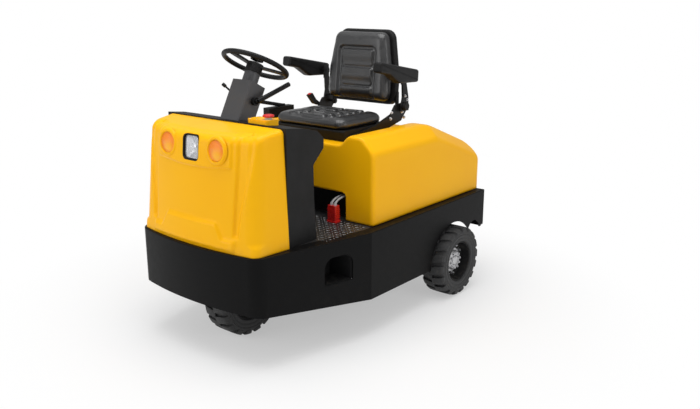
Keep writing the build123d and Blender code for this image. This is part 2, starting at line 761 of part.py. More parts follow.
def back_outline(inset=0.0):
    """Front view of the backrest, its shoulders drawn in towards the top."""
    with BuildSketch() as outline:
        with BuildLine():
            Polyline((-back_half + 16, 0), (back_half - 16, 0), (back_half, back_shoulder * 0.3),
                     (back_half, back_shoulder), (back_top_half, back_h), (-back_top_half, back_h),
                     (-back_half, back_shoulder), (-back_half, back_shoulder * 0.3), close=True)
        make_face()
        fillet(outline.vertices().group_by(Axis.Y)[-1], 62)
        fillet(outline.vertices().group_by(Axis.Y)[0], 40)
        if inset:
            offset(amount=-inset)
    return outline.sketch


with BuildPart() as backrest_cushion:
    with BuildSketch(back_plane.offset(seat_gap)):
        add(back_outline(5))
    extrude(amount=back_cushion_t)
    fillet(backrest_cushion.faces().sort_by(Axis.Y)[0].edges(), 24)
finish(backrest_cushion, "backrest_cushion")

recline_y = 416.0
recline_z = 1104.0
recline_r = 8.0
lug_x = 232.0
lug_t = 10.0
with BuildPart() as backrest_shell:
    with BuildSketch(back_plane.offset(-back_shell_t)):
        add(back_outline())
    extrude(amount=back_shell_t)
    fillet(backrest_shell.faces().sort_by(Axis.Y)[-1].edges(), 14)
    for x in (-lug_x - lug_t, lug_x):
        with BuildSketch(side_plane(x)):
            with Locations((recline_y, recline_z)):
                Circle(18)
            with Locations((recline_y, recline_z + 45)):
                Rectangle(24, 90)
            with Locations((recline_y, recline_z)):
                Circle(recline_r + run_gap, mode=Mode.SUBTRACT)
        extrude(amount=lug_t)
finish(backrest_shell, "backrest_shell")

side_t = 12.0
upright_x = 292.0
upright_t = 12.0
with BuildPart() as seat_side_frames:
    for sign in (1, -1):
        with BuildSketch(side_plane(pan_half + seat_gap if sign > 0 else -pan_half - seat_gap - side_t)):
            with BuildLine():
                Polyline((-60, 1006), (150, 1032), (cushion_rear_y + 20, 1080), (cushion_rear_y + 60, 1128),
                         (452, 1140), (462, 1100), (400, 1034), (236, 996), (-60, 996), close=True)
            make_face()
        extrude(amount=side_t)
        with BuildSketch(side_plane(upright_x - upright_t / 2 if sign > 0 else -upright_x - upright_t / 2)):
            with BuildLine():
                Polyline((372, 1090), (448, 1090), (444, 1170), (418, 1268), (386, 1268), (392, 1170), close=True)
            make_face()
            with Locations((arm_pivot_y, arm_pivot_z)):
                Circle(26)
            with Locations((arm_pivot_y, 1262)):
                Rectangle(40, 40)
        extrude(amount=upright_t)
        low_x, high_x = sorted((sign * pan_half, sign * upright_x))
        block((low_x, 395, 1096), (high_x, 437, 1130))
        with Locations((sign * (upright_x + 10), arm_pivot_y, arm_pivot_z)):
            Cylinder(9, 24 + upright_t, rotation=(0, 90, 0))
        with Locations((sign * (lug_x - 4 + pan_half + 4) / 2, recline_y, recline_z)):
            Cylinder(recline_r, pan_half - lug_x + 8, rotation=(0, 90, 0))
finish(seat_side_frames, "seat_side_frames")

arm_tilt = 10.0
arm_length = 356.0
arm_rear_h = 72.0
arm_front_h = 50.0
for side, sign in (("left", 1), ("right", -1)):
    with BuildPart() as armrest:
        with BuildSketch(side_plane(sign * arm_x - arm_w / 2)) as arm_side:
            with BuildLine():
                Polyline((448, 1256), (452, 1326), (96, 1390), (88, 1334), (180, 1316), (270, 1262), close=True)
            make_face()
            fillet(arm_side.vertices(), 12)
        extrude(amount=arm_w)
        fillet(armrest.faces().sort_by(Axis.Z)[-1].edges(), 8)
        with Locations((sign * (arm_x - arm_w / 2), arm_pivot_y, arm_pivot_z)):
            Cylinder(9 + run_gap, 60, rotation=(0, 90, 0), mode=Mode.SUBTRACT)
    finish(armrest, side + "_armrest")

with BuildPart() as recline_knob:
    with Locations((upright_x + upright_t / 2 + 10 + seat_gap, 404, 1118)):
        Cylinder(24, 20, rotation=(0, 90, 0))
    fillet(recline_knob.edges().filter_by(GeomType.CIRCLE), 4)
finish(recline_knob, "recline_knob")

with BuildPart() as belt_buckle:
    with BuildSketch(side_plane(-pan_half - side_t - 2 * seat_gap - 26)):
        with BuildLine():
            Polyline((232, 1150), (262, 1162), (296, 1120), (330, 1098), (322, 1082), (280, 1096), close=True)
        make_face()
    extrude(amount=26)
finish(belt_buckle, "belt_buckle")

with BuildPart() as brake_lever:
    block((-420, -20, hood_top_z + seat_gap), (-370, 190, hood_top_z + 60))
    rod((-395, 120, hood_top_z + 62), (-395, -110, hood_top_z + 112), 11)
    rod((-395, 120, hood_top_z + 40), (-395, 120, hood_top_z + 72), 14)
finish(brake_lever, "brake_lever")
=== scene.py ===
import math
import bmesh
import bpy
import numpy
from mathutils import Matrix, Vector


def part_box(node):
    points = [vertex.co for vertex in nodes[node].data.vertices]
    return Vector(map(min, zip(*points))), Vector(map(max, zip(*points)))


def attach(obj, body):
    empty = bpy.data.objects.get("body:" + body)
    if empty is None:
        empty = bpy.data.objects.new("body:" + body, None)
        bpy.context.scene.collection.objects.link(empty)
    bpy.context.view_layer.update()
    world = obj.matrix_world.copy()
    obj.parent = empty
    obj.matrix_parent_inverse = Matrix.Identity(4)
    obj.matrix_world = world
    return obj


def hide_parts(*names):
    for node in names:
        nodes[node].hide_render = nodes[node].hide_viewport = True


# Sit-on electric tow tractor: finishes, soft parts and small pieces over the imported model.
# Metres, +Z up, -Y the front, +X the vehicle's left.

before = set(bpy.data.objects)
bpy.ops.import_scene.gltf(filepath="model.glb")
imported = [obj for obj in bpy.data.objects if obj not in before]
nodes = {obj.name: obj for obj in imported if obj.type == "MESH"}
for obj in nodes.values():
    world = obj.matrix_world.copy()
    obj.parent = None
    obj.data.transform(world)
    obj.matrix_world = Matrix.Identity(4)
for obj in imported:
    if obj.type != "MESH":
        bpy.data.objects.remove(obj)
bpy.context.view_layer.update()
scene = bpy.context.scene
print("frame loaded:", len(nodes), "nodes")


# Camera

def photographView():
    cameraData = bpy.data.cameras.new("camera")
    camera = bpy.data.objects.new("camera", cameraData)
    scene.collection.objects.link(camera)
    camera.location = (2.8158, -3.1676, 1.7290)
    camera.rotation_euler = (math.radians(74.6471), 0.0, math.radians(39.2733))
    cameraData.lens = 39.09
    cameraData.sensor_width = 36.0
    cameraData.clip_end = 60.0
    scene.camera = camera


photographView()


# Shader building

class Wire:                       # one shader socket, so masks can be written as sums
    def __init__(self, look, socket):
        self.look = look
        self.socket = socket

    def join(self, operation, other, flip=False):
        pair = (other, self) if flip else (self, other)
        return self.look.node("Math", {"operation": operation}, {0: pair[0], 1: pair[1]})

    def __add__(self, other): return self.join("ADD", other)
    def __radd__(self, other): return self.join("ADD", other, True)
    def __sub__(self, other): return self.join("SUBTRACT", other)
    def __rsub__(self, other): return self.join("SUBTRACT", other, True)
    def __mul__(self, other): return self.join("MULTIPLY", other)
    def __rmul__(self, other): return self.join("MULTIPLY", other, True)


class Look:                       # one finish, or the world, and the nodes that make it
    def __init__(self, name, owner=None):
        self.owner = owner or bpy.data.materials.new(name)
        self.owner.use_nodes = True
        self.tree = self.owner.node_tree
        self.tree.nodes.clear()

    def plug(self, socket, value):
        if isinstance(value, Wire):
            self.tree.links.new(value.socket, socket)
        elif socket.type == "RGBA" and len(value) == 3:
            socket.default_value = (*value, 1)
        else:
            socket.default_value = value

    def node(self, kind, settings, sockets, output=0):
        made = self.tree.nodes.new("ShaderNode" + kind)
        for key, value in settings.items():
            if key == "stops":
                for stop in list(made.color_ramp.elements)[1:]:
                    made.color_ramp.elements.remove(stop)
                for i, (place, colour) in enumerate(value):
                    stop = made.color_ramp.elements[0] if i == 0 else made.color_ramp.elements.new(place)
                    stop.position = place
                    stop.color = (*colour, 1) if len(colour) == 3 else colour
            else:
                setattr(made, key, value)
        for key, value in sockets.items():
            self.plug(made.inputs[key], value)
        return Wire(self, made.outputs[output]) if len(made.outputs) else None

    def place(self):              # position on the piece, metres
        return self.node("TexCoord", {}, {}, "Object")

    def axis(self, letter):       # one coordinate of that position
        return self.node("SeparateXYZ", {}, {0: self.place()}, letter)

    def facing(self, letter):     # how far the surface faces along one axis
        normal = self.node("NewGeometry", {}, {}, "Normal")
        return self.node("SeparateXYZ", {}, {0: normal}, letter)

    def rays(self, first, second):    # 1 for rays of either kind
        kinds = [self.node("LightPath", {}, {}, kind) for kind in (first, second)]
        return self.node("Math", {"operation": "MAXIMUM"}, {0: kinds[0], 1: kinds[1]})

    def cloud(self, scale, detail=3.0, roughness=0.55):
        return self.node("TexNoise", {}, {"Vector": self.place(), "Scale": scale, "Detail": detail,
                                          "Roughness": roughness}, "Fac")

    def cells(self, scale, feature="F1", output="Distance"):
        return self.node("TexVoronoi", {"feature": feature}, {"Vector": self.place(), "Scale": scale}, output)

    def soft(self, value, low, high, bottom=0.0, top=1.0):
        return self.node("MapRange", {"interpolation_type": "SMOOTHSTEP"},
                         {"Value": value, "From Min": low, "From Max": high, "To Min": bottom, "To Max": top})

    def mix(self, mask, first, second):
        return self.node("Mix", {"data_type": "RGBA"}, {0: mask, 6: first, 7: second}, 2)

    def bump(self, height, depth, strength=1.0, under=None):
        sockets = {"Height": height, "Distance": depth, "Strength": strength}
        if under:
            sockets["Normal"] = under
        return self.node("Bump", {}, sockets)

    def done(self, **sockets):
        shader = self.node("BsdfPrincipled", {}, {k.replace("_", " "): v for k, v in sockets.items()})
        self.node("OutputMaterial", {}, {"Surface": shader})
        return self.owner


def gelcoat():                    # glossy yellow moulded panels
    tints = {"colour": (1.0, 0.50, 0.003), "deep": (0.97, 0.44, 0.002), "dust": (0.62, 0.47, 0.25)}
    look = Look("glossYellow")
    broad = look.soft(look.cloud(3.2, 2.0), 0.35, 0.7)
    film = look.soft(look.cloud(38, 5.0), 0.5, 0.85) * look.soft(look.facing("Z"), 0.4, 0.95)
    low = look.soft(look.axis("Z"), 0.66, 0.57) * look.soft(look.cloud(16, 6.0), 0.42, 0.7)
    paint = look.mix(broad * 0.28, tints["colour"], tints["deep"])
    paint = look.mix(film * 0.02 + low * 0.06, paint, tints["dust"])
    peel = look.bump(look.cloud(260, 2.0), 0.00035, 0.35)
    return look.done(Base_Color=paint, Roughness=0.26 + look.cloud(22, 4.0) * 0.12 + low * 0.2,
                     Coat_Weight=0.07 - film * 0.04, Coat_Roughness=0.12, Specular_IOR_Level=0.10,
                     Normal=peel)


def satinBlack(name="satinBlack", level=0.0055, rough=0.36, dusty=0.22):   # powder coated plates
    look = Look(name)
    colour = (level, level, level * 1.04)
    dust = (0.105, 0.094, 0.078)
    streak = look.soft(look.cloud(9, 7.0, 0.65), 0.47, 0.78)
    low = look.soft(look.axis("Z"), 0.42, 0.18) * streak
    shelf = look.soft(look.facing("Z"), 0.6, 1.0) * look.soft(look.cloud(46, 5.0), 0.42, 0.8)
    paint = look.mix((low * 0.5 + shelf * 0.35) * dusty, colour, dust)
    skin = look.bump(look.cloud(620, 2.0), 0.0003, 0.5)
    return look.done(Base_Color=paint, Roughness=rough + look.cloud(30, 4.0) * 0.14 + low * 0.25, Normal=skin,
                     Specular_IOR_Level=0.07)


def grainedPlastic(name="grainedPlastic", level=0.0095, rough=0.46, size=900.0, depth=0.00035):
    look = Look(name)
    rubbed = (level * 1.5, level * 1.5, level * 1.55)
    shade = look.mix(look.soft(look.cloud(7, 3.0), 0.3, 0.75), (level, level, level), rubbed)
    grain = look.bump(look.cells(size), depth, 0.6)
    return look.done(Base_Color=shade, Roughness=rough + look.cloud(60, 3.0) * 0.1, Normal=grain,
                     Specular_IOR_Level=0.16)


def vinyl():                      # coated seat cover with a leather grain
    look = Look("blackVinyl")
    wear = look.soft(look.cloud(6, 4.0), 0.42, 0.78)
    pores = look.cells(420, "DISTANCE_TO_EDGE")
    grain = look.bump(look.soft(pores, 0.0, 0.25), 0.0005, 0.55)
    creases = look.bump(look.cloud(34, 6.0, 0.6), 0.0016, 0.25, grain)
    shade = look.mix(wear * 0.6, (0.009, 0.0093, 0.0105), (0.021, 0.021, 0.023))
    return look.done(Base_Color=shade, Roughness=0.31 + wear * 0.12 + look.soft(pores, 0.2, 0.0) * 0.1,
                     Coat_Weight=0.75, Coat_Roughness=0.20, Normal=creases)


def tyreRubber():
    look = Look("tyreRubber")
    grime = look.soft(look.cloud(26, 7.0, 0.65), 0.42, 0.75)
    contact = look.soft(look.cloud(120, 5.0), 0.45, 0.8)
    shade = look.mix(grime * 0.55, (0.019, 0.0193, 0.0205), (0.062, 0.060, 0.057))
    shade = look.mix(contact * 0.18, shade, (0.11, 0.105, 0.097))
    skin = look.bump(look.cloud(340, 5.0), 0.0006, 0.7)
    return look.done(Base_Color=shade, Roughness=0.62 + grime * 0.2, Normal=skin)


def bareMetal(name, colour, rough, metal=1.0, marks=0.12):
    look = Look(name)
    drawn = look.node("Mapping", {}, {"Vector": look.place(), "Scale": (1.0, 14.0, 14.0)})
    scratch = look.node("TexNoise", {}, {"Vector": drawn, "Scale": 60.0, "Detail": 6.0}, "Fac")
    stain = look.soft(look.cloud(45, 5.0), 0.5, 0.8)
    darker = tuple(c * 0.55 for c in colour)
    return look.done(Base_Color=look.mix(stain * 0.6, colour, darker), Metallic=metal - stain * 0.15,
                     Roughness=rough + scratch * marks + stain * 0.15, Normal=look.bump(scratch, 0.0002, 0.4))


def treadPlate():                 # painted floor plate, rubbed bright where boots stand
    look = Look("treadPlate")
    worn = look.soft(look.cloud(7, 5.0), 0.4, 0.72) * look.soft(look.cloud(90, 4.0), 0.35, 0.7)
    dirt = look.soft(look.cloud(24, 6.0), 0.45, 0.75)
    shade = look.mix(worn * 0.7, (0.014, 0.014, 0.0145), (0.10, 0.10, 0.10))
    shade = look.mix(dirt * 0.35, shade, (0.075, 0.066, 0.054))
    return look.done(Base_Color=shade, Roughness=0.38 + dirt * 0.25, Metallic=worn * 0.5,
                     Normal=look.bump(look.cloud(300, 3.0), 0.0004, 0.6))


def rubbedTread():                # tops of the raised bars
    look = Look("rubbedTread")
    edge = look.soft(look.cloud(140, 4.0), 0.38, 0.62)
    shade = look.mix(edge, (0.05, 0.05, 0.052), (0.36, 0.36, 0.37))
    return look.done(Base_Color=shade, Metallic=0.3 + edge * 0.6, Roughness=0.36 + edge * 0.12)


def lampGlass(name, colour, deep, centre):          # moulded lens, with a painted glow, lighter and faintly emitting over its bulb
    look = Look(name)
    across = look.node("VectorMath", {"operation": "DISTANCE"}, {0: look.place(), 1: centre}, "Value")
    # painted glow: the lens colour is lightened and made to emit around the bulb, in place of light from the
    # lamp
    paintedGlow = look.soft(across, 0.050, 0.006)
    ribs = look.node("TexWave", {"wave_type": "BANDS", "bands_direction": "X"},
                     {"Vector": look.place(), "Scale": 52.0, "Distortion": 0.4}, "Fac")
    shade = look.mix(paintedGlow, deep, colour)
    return look.done(Base_Color=shade, Roughness=0.16 + ribs * 0.06, Coat_Weight=0.22 - paintedGlow * 0.05,
                     Emission_Color=look.mix(paintedGlow, (0.0, 0.0, 0.0), colour), Emission_Strength=0.10,
                     Specular_IOR_Level=0.3, Normal=look.bump(ribs, 0.0012, 0.5))


def clearLens():
    look = Look("clearLens")
    flutes = look.node("TexWave", {"bands_direction": "X"}, {"Vector": look.place(), "Scale": 34.0}, "Fac")
    return look.done(Base_Color=look.mix(flutes, (0.80, 0.83, 0.86), (0.95, 0.97, 1.0)),
                     Roughness=0.05 + flutes * 0.05, Alpha=0.20 + flutes * 0.12,
                     Normal=look.bump(flutes, 0.0012, 0.35))


def glossPlastic(name, colour, rough=0.3):
    look = Look(name)
    fade = look.soft(look.cloud(18, 4.0), 0.35, 0.75)
    shade = look.mix(fade * 0.35, colour, tuple(c * 0.7 + 0.01 for c in colour))
    return look.done(Base_Color=shade, Roughness=rough + fade * 0.12,
                     Normal=look.bump(look.cloud(420, 2.0), 0.0002, 0.4))


def sheetGrey():                  # steering column cover
    look = Look("sheetGrey")
    rub = look.soft(look.cloud(12, 6.0), 0.48, 0.8)
    shade = look.mix(rub * 0.5, (0.060, 0.060, 0.063), (0.095, 0.082, 0.070))
    return look.done(Base_Color=shade, Metallic=0.2 + rub * 0.2, Roughness=0.36 + rub * 0.15,
                     Normal=look.bump(look.cloud(500, 2.0), 0.0003, 0.5))


# amber lens tints: lit is the painted glow colour over the bulb, deep the lens colour away from it
amber = {"lit": (1.0, 0.50, 0.006), "deep": (0.97, 0.25, 0.002),
         "rightBulb": (-0.165, -0.9, 1.022), "leftBulb": (0.185, -0.9, 1.022)}
finishes = {
    "skirt": satinBlack(),
    "frame": satinBlack("frameBlack", 0.014, 0.5, 1.0),
    "yellow": gelcoat(),
    "plastic": grainedPlastic(),
    "smoothBlack": grainedPlastic("smoothBlack", 0.008, 0.30, 1500.0, 0.0001),
    "grip": grainedPlastic("gripBlack", 0.009, 0.42, 600.0, 0.0005),
    "pad": grainedPlastic("armPad", 0.011, 0.40, 520.0, 0.0005),
    "vinyl": vinyl(),
    "tyre": tyreRubber(),
    "rim": satinBlack("rimBlack", 0.016, 0.36, 0.9),
    "hub": bareMetal("castHub", (0.52, 0.52, 0.53), 0.34),
    "zinc": bareMetal("zincSteel", (0.72, 0.72, 0.74), 0.24),
    "darkSteel": bareMetal("darkSteel", (0.16, 0.155, 0.15), 0.4),
    "mirrorMetal": bareMetal("mirrorMetal", (0.90, 0.90, 0.93), 0.20, 1.0, 0.04),
    "tread": treadPlate(),
    "bars": rubbedTread(),
    "amberRight": lampGlass("amberRight", amber["lit"], amber["deep"], amber["rightBulb"]),
    "amberLeft": lampGlass("amberLeft", amber["lit"], amber["deep"], amber["leftBulb"]),
    "clear": clearLens(),
    "red": glossPlastic("redPlastic", (0.62, 0.012, 0.010)),
    "paleGreen": glossPlastic("paleGreen", (0.55, 0.72, 0.58), 0.4),
    "whiteBulb": glossPlastic("whiteBulb", (0.95, 0.95, 0.92), 0.2),
    "column": sheetGrey(),
    "lead": glossPlastic("greyLead", (0.42, 0.42, 0.43), 0.5),
}
cadFinish = {
    "skirt": ["front_skirt", "left_side_panel", "right_side_panel", "rear_plate"],
    "frame": ["main_frame", "rear_axle", "front_fork", "tow_hitch", "hood_hinges", "hood_hinge_leaves",
              "battery_block"],
    "tread": ["deck_plate"],
    "yellow": ["front_cowl", "hood_shell", "emergency_stop_box"],
    "plastic": ["dash_console", "seat_pan", "backrest_shell", "recline_knob", "belt_buckle", "brake_lever",
                "pedals"],
    "smoothBlack": ["direction_lever", "signal_lever", "seat_side_frames"],
    "grip": ["steering_wheel"],
    "column": ["steering_column"],
    "rim": ["front_rim", "rear_left_rim", "rear_right_rim"],
    "hub": ["rear_left_hub", "rear_right_hub"],
    "red": ["battery_connector", "emergency_stop_button"],
    "lead": ["battery_leads"],
    "amberLeft": ["amber_lamps"],
    "clear": ["headlamp"],
    "tyre": ["front_tyre", "rear_left_tyre", "rear_right_tyre"],
    "pad": ["left_armrest", "right_armrest"],
    "vinyl": ["seat_cushion", "backrest_cushion"],
}
for finishName, names in cadFinish.items():
    for name in names:
        for materialSlot in nodes[name].material_slots:
            materialSlot.material = finishes[finishName]
print("finishes made:", len(finishes))


# Mesh building

def newPiece(name, points, faces, finish, body, smooth=True):
    mesh = bpy.data.meshes.new(name)
    mesh.from_pydata([tuple(p) for p in points], [], faces)
    mesh.validate()
    built = bmesh.new()
    built.from_mesh(mesh)
    bmesh.ops.remove_doubles(built, verts=built.verts, dist=1e-6)
    bmesh.ops.recalc_face_normals(built, faces=built.faces)
    built.to_mesh(mesh)
    built.free()
    mesh.polygons.foreach_set("use_smooth", [smooth] * len(mesh.polygons))
    mesh.materials.append(finishes[finish])
    piece = bpy.data.objects.new(name, mesh)
    scene.collection.objects.link(piece)
    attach(piece, body)
    return piece


def soften(piece, width, segments=2, angle=30):
    bevel = piece.modifiers.new("edges", "BEVEL")
    bevel.width = width
    bevel.segments = segments
    bevel.limit_method = "ANGLE"
    bevel.angle_limit = math.radians(angle)
    bevel.harden_normals = False
    return piece


def grid(rows, closedRows=False, closedColumns=False):
    count, width = len(rows), len(rows[0])
    points = [p for row in rows for p in row]
    faces = []
    for i in range(count if closedRows else count - 1):
        for j in range(width if closedColumns else width - 1):
            a, b = i, (i + 1) % count
            c, d = j, (j + 1) % width
            faces.append((a * width + c, a * width + d, b * width + d, b * width + c))
    return points, faces


def endCaps(faces, width, rows):      # closes the first and last row of a grid of closed columns
    return faces + [tuple(range(width)), tuple(range((rows - 1) * width, rows * width))]


def thicken(piece, thickness, offset=-1.0):
    wall = piece.modifiers.new("wall", "SOLIDIFY")
    wall.thickness = thickness
    wall.offset = offset


def crossAxes(direction):             # an axis and two directions square to it
    axis = Vector(direction).normalized()
    side = axis.orthogonal().normalized()
    return axis, side, axis.cross(side)


def lathe(name, profile, centre, direction, finish, body, steps=64):   # profile of (along, radius)
    axis, side, other = crossAxes(direction)
    rows = []
    for k in range(steps):
        turn = 2 * math.pi * k / steps
        spoke = side * math.cos(turn) + other * math.sin(turn)
        rows.append([Vector(centre) + axis * a + spoke * r for a, r in profile])
    return newPiece(name, *grid(rows, closedRows=True), finish, body)


def joinMeshes(parts):            # many small point and face lists as one
    points, faces = [], []
    for morePoints, moreFaces in parts:
        base = len(points)
        points += morePoints
        faces += [tuple(i + base for i in face) for face in moreFaces]
    return points, faces


def prism(outline, low, high, toWorld):            # closed block over a flat outline
    count = len(outline)
    points = [toWorld(x, y, low) for x, y in outline] + [toWorld(x, y, high) for x, y in outline]
    faces = [tuple(range(count))[::-1], tuple(range(count, 2 * count))]
    faces += [(i, (i + 1) % count, (i + 1) % count + count, i + count) for i in range(count)]
    return points, faces


def hexagon(radius):
    return [(radius * math.cos(math.radians(60 * k)),
             radius * math.sin(math.radians(60 * k))) for k in range(6)]


def roundOutline(halfX, halfY, radius, steps=6):
    points = []
    for sx, sy, start in ((1, 1, 0), (-1, 1, 90), (-1, -1, 180), (1, -1, 270)):
        for k in range(steps + 1):
            angle = math.radians(start + 90 * k / steps)
            points.append((sx * (halfX - radius) + radius * math.cos(angle),
                           sy * (halfY - radius) + radius * math.sin(angle)))
    return points


def smoothStep(value, low, high):
    t = min(max((value - low) / (high - low), 0.0), 1.0)
    return t * t * (3 - 2 * t)


def insetOutline(outline, inset, middle=None):   # each corner moved in, to the left of its way round
    moved = []
    count = len(outline)
    for j in range(count):
        before, here, after = (Vector(outline[(j + k) % count]) for k in (-1, 0, 1))
        tangent = (after - before).normalized()
        inward = Vector((-tangent.y, tangent.x))
        if middle and inward.dot(middle - here) < 0:
            inward = -inward
        moved.append(here + inward * inset)
    return moved


def boltRing(name, centre, direction, pitchRadius, count, size, height, finish, body, start=0.0):
    axis, side, other = crossAxes(direction)
    parts = []
    for k in range(count):
        turn = math.radians(start + 360 * k / count)
        middle = Vector(centre) + side * (pitchRadius * math.cos(turn))
        middle += other * (pitchRadius * math.sin(turn))

        def toWorld(x, y, z, middle=middle):
            return middle + side * x + other * y + axis * z

        washer = roundOutline(size * 1.25, size * 1.25, size * 1.2, 4)
        stud = roundOutline(size * 0.5, size * 0.5, size * 0.48, 4)
        parts.append(prism(washer, 0.0, height * 0.2, toWorld))
        parts.append(prism(hexagon(size), height * 0.2, height, toWorld))
        parts.append(prism(stud, height, height * 1.35, toWorld))
    return soften(newPiece(name, *joinMeshes(parts), finish, body, False), size * 0.08, 2)


# Battery leads, from the red connector into the hood's mouth

leads = {"centreX": 0.298, "apart": 0.012, "plugY": -0.226, "plugTop": 0.663, "top": 0.701,
         "batteryY": -0.090, "diameter": 0.011, "length": 0.152}


def batteryLead(name, x):
    route = [(x, leads["plugY"], leads["plugTop"]), (x, leads["plugY"], leads["top"]),
             (x, leads["batteryY"], leads["top"])]
    curve = bpy.data.curves.new(name, "CURVE")
    curve.dimensions = "3D"
    curve.bevel_depth = leads["diameter"] / 2
    curve.bevel_resolution = 6
    curve.resolution_u = 24
    curve.use_fill_caps = True
    line = curve.splines.new("NURBS")
    line.points.add(len(route) - 1)
    for point, place in zip(line.points, route):
        point.co = (*place, 1.0)
    line.order_u = 3
    line.use_endpoint_u = True
    curve.materials.append(finishes["lead"])
    lead = bpy.data.objects.new(name, curve)
    scene.collection.objects.link(lead)
    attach(lead, "chassis")
    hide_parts("battery_leads")
    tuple(route[0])


for x, name in ((-leads["apart"], "leadInner"), (leads["apart"], "leadOuter")):
    batteryLead(name, leads["centreX"] + x)
print("leads laid")


# Tyres, with staggered lugs on each shoulder

tyre = {"radius": 0.2073, "core": 0.1945, "halfWidth": 0.0748, "seat": 0.1212, "steps": 108,
        "lugs": 18, "lugSteps": 4, "duty": 0.70, "narrowing": 0.22, "skew": 5.0}


def blockTyre(name, axleX, axleY, body, cadNode):
    half = tyre["halfWidth"]
    seat = tyre["seat"]
    core = tyre["core"]

    def onWheel(across, r, turn):
        return Vector((axleX + across, axleY + r * math.cos(turn), tyreZ + r * math.sin(turn)))

    profile = [(-half + 0.010, seat), (-half + 0.004, seat + 0.006), (-half + 0.003, seat + 0.016),
               (-half + 0.006, seat + 0.022), (-half + 0.003, seat + 0.026), (-half + 0.001, seat + 0.040),
               (-half + 0.004, seat + 0.043), (-half, seat + 0.047), (-half + 0.002, core - 0.014),
               (-half + 0.010, core - 0.004), (-half + 0.022, core), (0.0, core + 0.001)]
    profile += [(-a, r) for a, r in reversed(profile[:-1])]
    profile.append((0.0, seat))
    rows = []
    for k in range(tyre["steps"]):
        turn = 2 * math.pi * k / tyre["steps"]
        rows.append([onWheel(a, r, turn) for a, r in profile])
    parts = [grid(rows, closedRows=True, closedColumns=True)]
    pitch = 2 * math.pi / tyre["lugs"]
    top = tyre["radius"]
    for side in (1, -1):
        outer = [(half - 0.001, core - 0.016), (half, core - 0.004), (half - 0.005, top - 0.006),
                 (half - 0.014, top - 0.001), (half * 0.35, top), (-0.004, top)]
        inner = [(-0.004, core - 0.004), (half * 0.35, core - 0.004), (half - 0.014, core - 0.006),
                 (half - 0.012, core - 0.016)]
        section = outer + inner
        for lug in range(tyre["lugs"]):
            middle = pitch * (lug + (0.0 if side > 0 else 0.5))
            lugRows = []
            for k in range(tyre["lugSteps"] + 1):
                lean = (k / tyre["lugSteps"] - 0.5) * pitch * tyre["duty"]
                row = []
                for a, r in section:
                    narrow = 1.0 - tyre["narrowing"] * smoothStep(a, half * 0.7, half)
                    turn = middle + lean * narrow + math.radians(tyre["skew"]) * (1 - a / half)
                    row.append(onWheel(side * a, r, turn))
                lugRows.append(row)
            points, faces = grid(lugRows, closedColumns=True)
            parts.append((points, endCaps(faces, len(section), len(lugRows))))
    piece = newPiece(name, *joinMeshes(parts), "tyre", body)
    soften(piece, 0.0016, 2, 35)
    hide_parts(cadNode)


frontLow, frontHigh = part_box("front_tyre")
leftLow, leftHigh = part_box("rear_left_tyre")
tyreZ = (frontLow.z + frontHigh.z) / 2
frontY = (frontLow.y + frontHigh.y) / 2
rearY = (leftLow.y + leftHigh.y) / 2
rearX = (leftLow.x + leftHigh.x) / 2
blockTyre("blockTyreFront", 0.0, frontY, "front_wheel", "front_tyre")
blockTyre("blockTyreRearLeft", rearX, rearY, "rear_left_wheel", "rear_left_tyre")
blockTyre("blockTyreRearRight", -rearX, rearY, "rear_right_wheel", "rear_right_tyre")

wheelNuts = {"count": 10, "hubPitch": 0.045, "hubSize": 0.0068, "hubHeight": 0.008,
             "rimPitch": 0.089, "rimSize": 0.0085, "rimHeight": 0.013, "rimStart": 18, "rimOut": 0.006}
hubCap = [(0.0, 0.031), (0.003, 0.0305), (0.007, 0.027), (0.0088, 0.019), (0.0092, 0.0)]
for side, label in ((1, "Left"), (-1, "Right")):
    body = "rear_" + label.lower() + "_wheel"
    hubLow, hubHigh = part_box("rear_" + label.lower() + "_hub")
    hubFace = hubHigh.x if side > 0 else hubLow.x
    rimFace = side * (rearX + wheelNuts["rimOut"])
    boltRing("hubNuts" + label, (hubFace, rearY, tyreZ), (side, 0, 0), wheelNuts["hubPitch"],
             wheelNuts["count"], wheelNuts["hubSize"], wheelNuts["hubHeight"], "zinc", body)
    boltRing("rimStuds" + label, (rimFace, rearY, tyreZ), (side, 0, 0), wheelNuts["rimPitch"],
             wheelNuts["count"], wheelNuts["rimSize"], wheelNuts["rimHeight"], "zinc", body,
             wheelNuts["rimStart"])
    lathe("hubCap" + label, hubCap, (hubFace, rearY, tyreZ), (side, 0, 0), "hub", body, 40)
print("wheels dressed")


# Floor tread: raised bars across the footwell

treadBars = {"cell": 0.027, "length": 0.0205, "width": 0.0064, "height": 0.0016, "sunk": 0.0002,
             "corners": 10, "topX": 0.72, "topY": 0.60, "low": (-0.500, -0.512), "high": (0.500, -0.180)}


def floorBars():
    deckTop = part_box("deck_plate")[1].z
    cell, corners = treadBars["cell"], treadBars["corners"]
    parts = []
    columns = int((treadBars["high"][0] - treadBars["low"][0]) / cell)
    rows = int((treadBars["high"][1] - treadBars["low"][1]) / cell)
    for i in range(columns):
        for j in range(rows):
            x = treadBars["low"][0] + (i + 0.5) * cell
            y = treadBars["low"][1] + (j + 0.5) * cell
            turn = math.radians(45 if (i + j) % 2 else -45)
            ring = []
            for k in range(corners):
                angle = 2 * math.pi * k / corners
                a = treadBars["length"] / 2 * math.cos(angle)
                b = treadBars["width"] / 2 * math.sin(angle)
                ring.append((x + a * math.cos(turn) - b * math.sin(turn),
                             y + a * math.sin(turn) + b * math.cos(turn)))
            top = [((px - x) * treadBars["topX"] + x, (py - y) * treadBars["topY"] + y) for px, py in ring]
            points = [Vector((px, py, deckTop - treadBars["sunk"])) for px, py in ring]
            points += [Vector((px, py, deckTop + treadBars["height"])) for px, py in top]
            faces = [tuple(range(corners, 2 * corners))]
            for k in range(corners):
                beside = (k + 1) % corners
                faces.append((k, beside, beside + corners, k + corners))
            parts.append((points, faces))
    piece = newPiece("floorBars", *joinMeshes(parts), "bars", "chassis", False)


floorBars()
print("floor tread laid")


# Front cowl, one moulded shell with its raised panel, side flutes, foot step and corner ledges

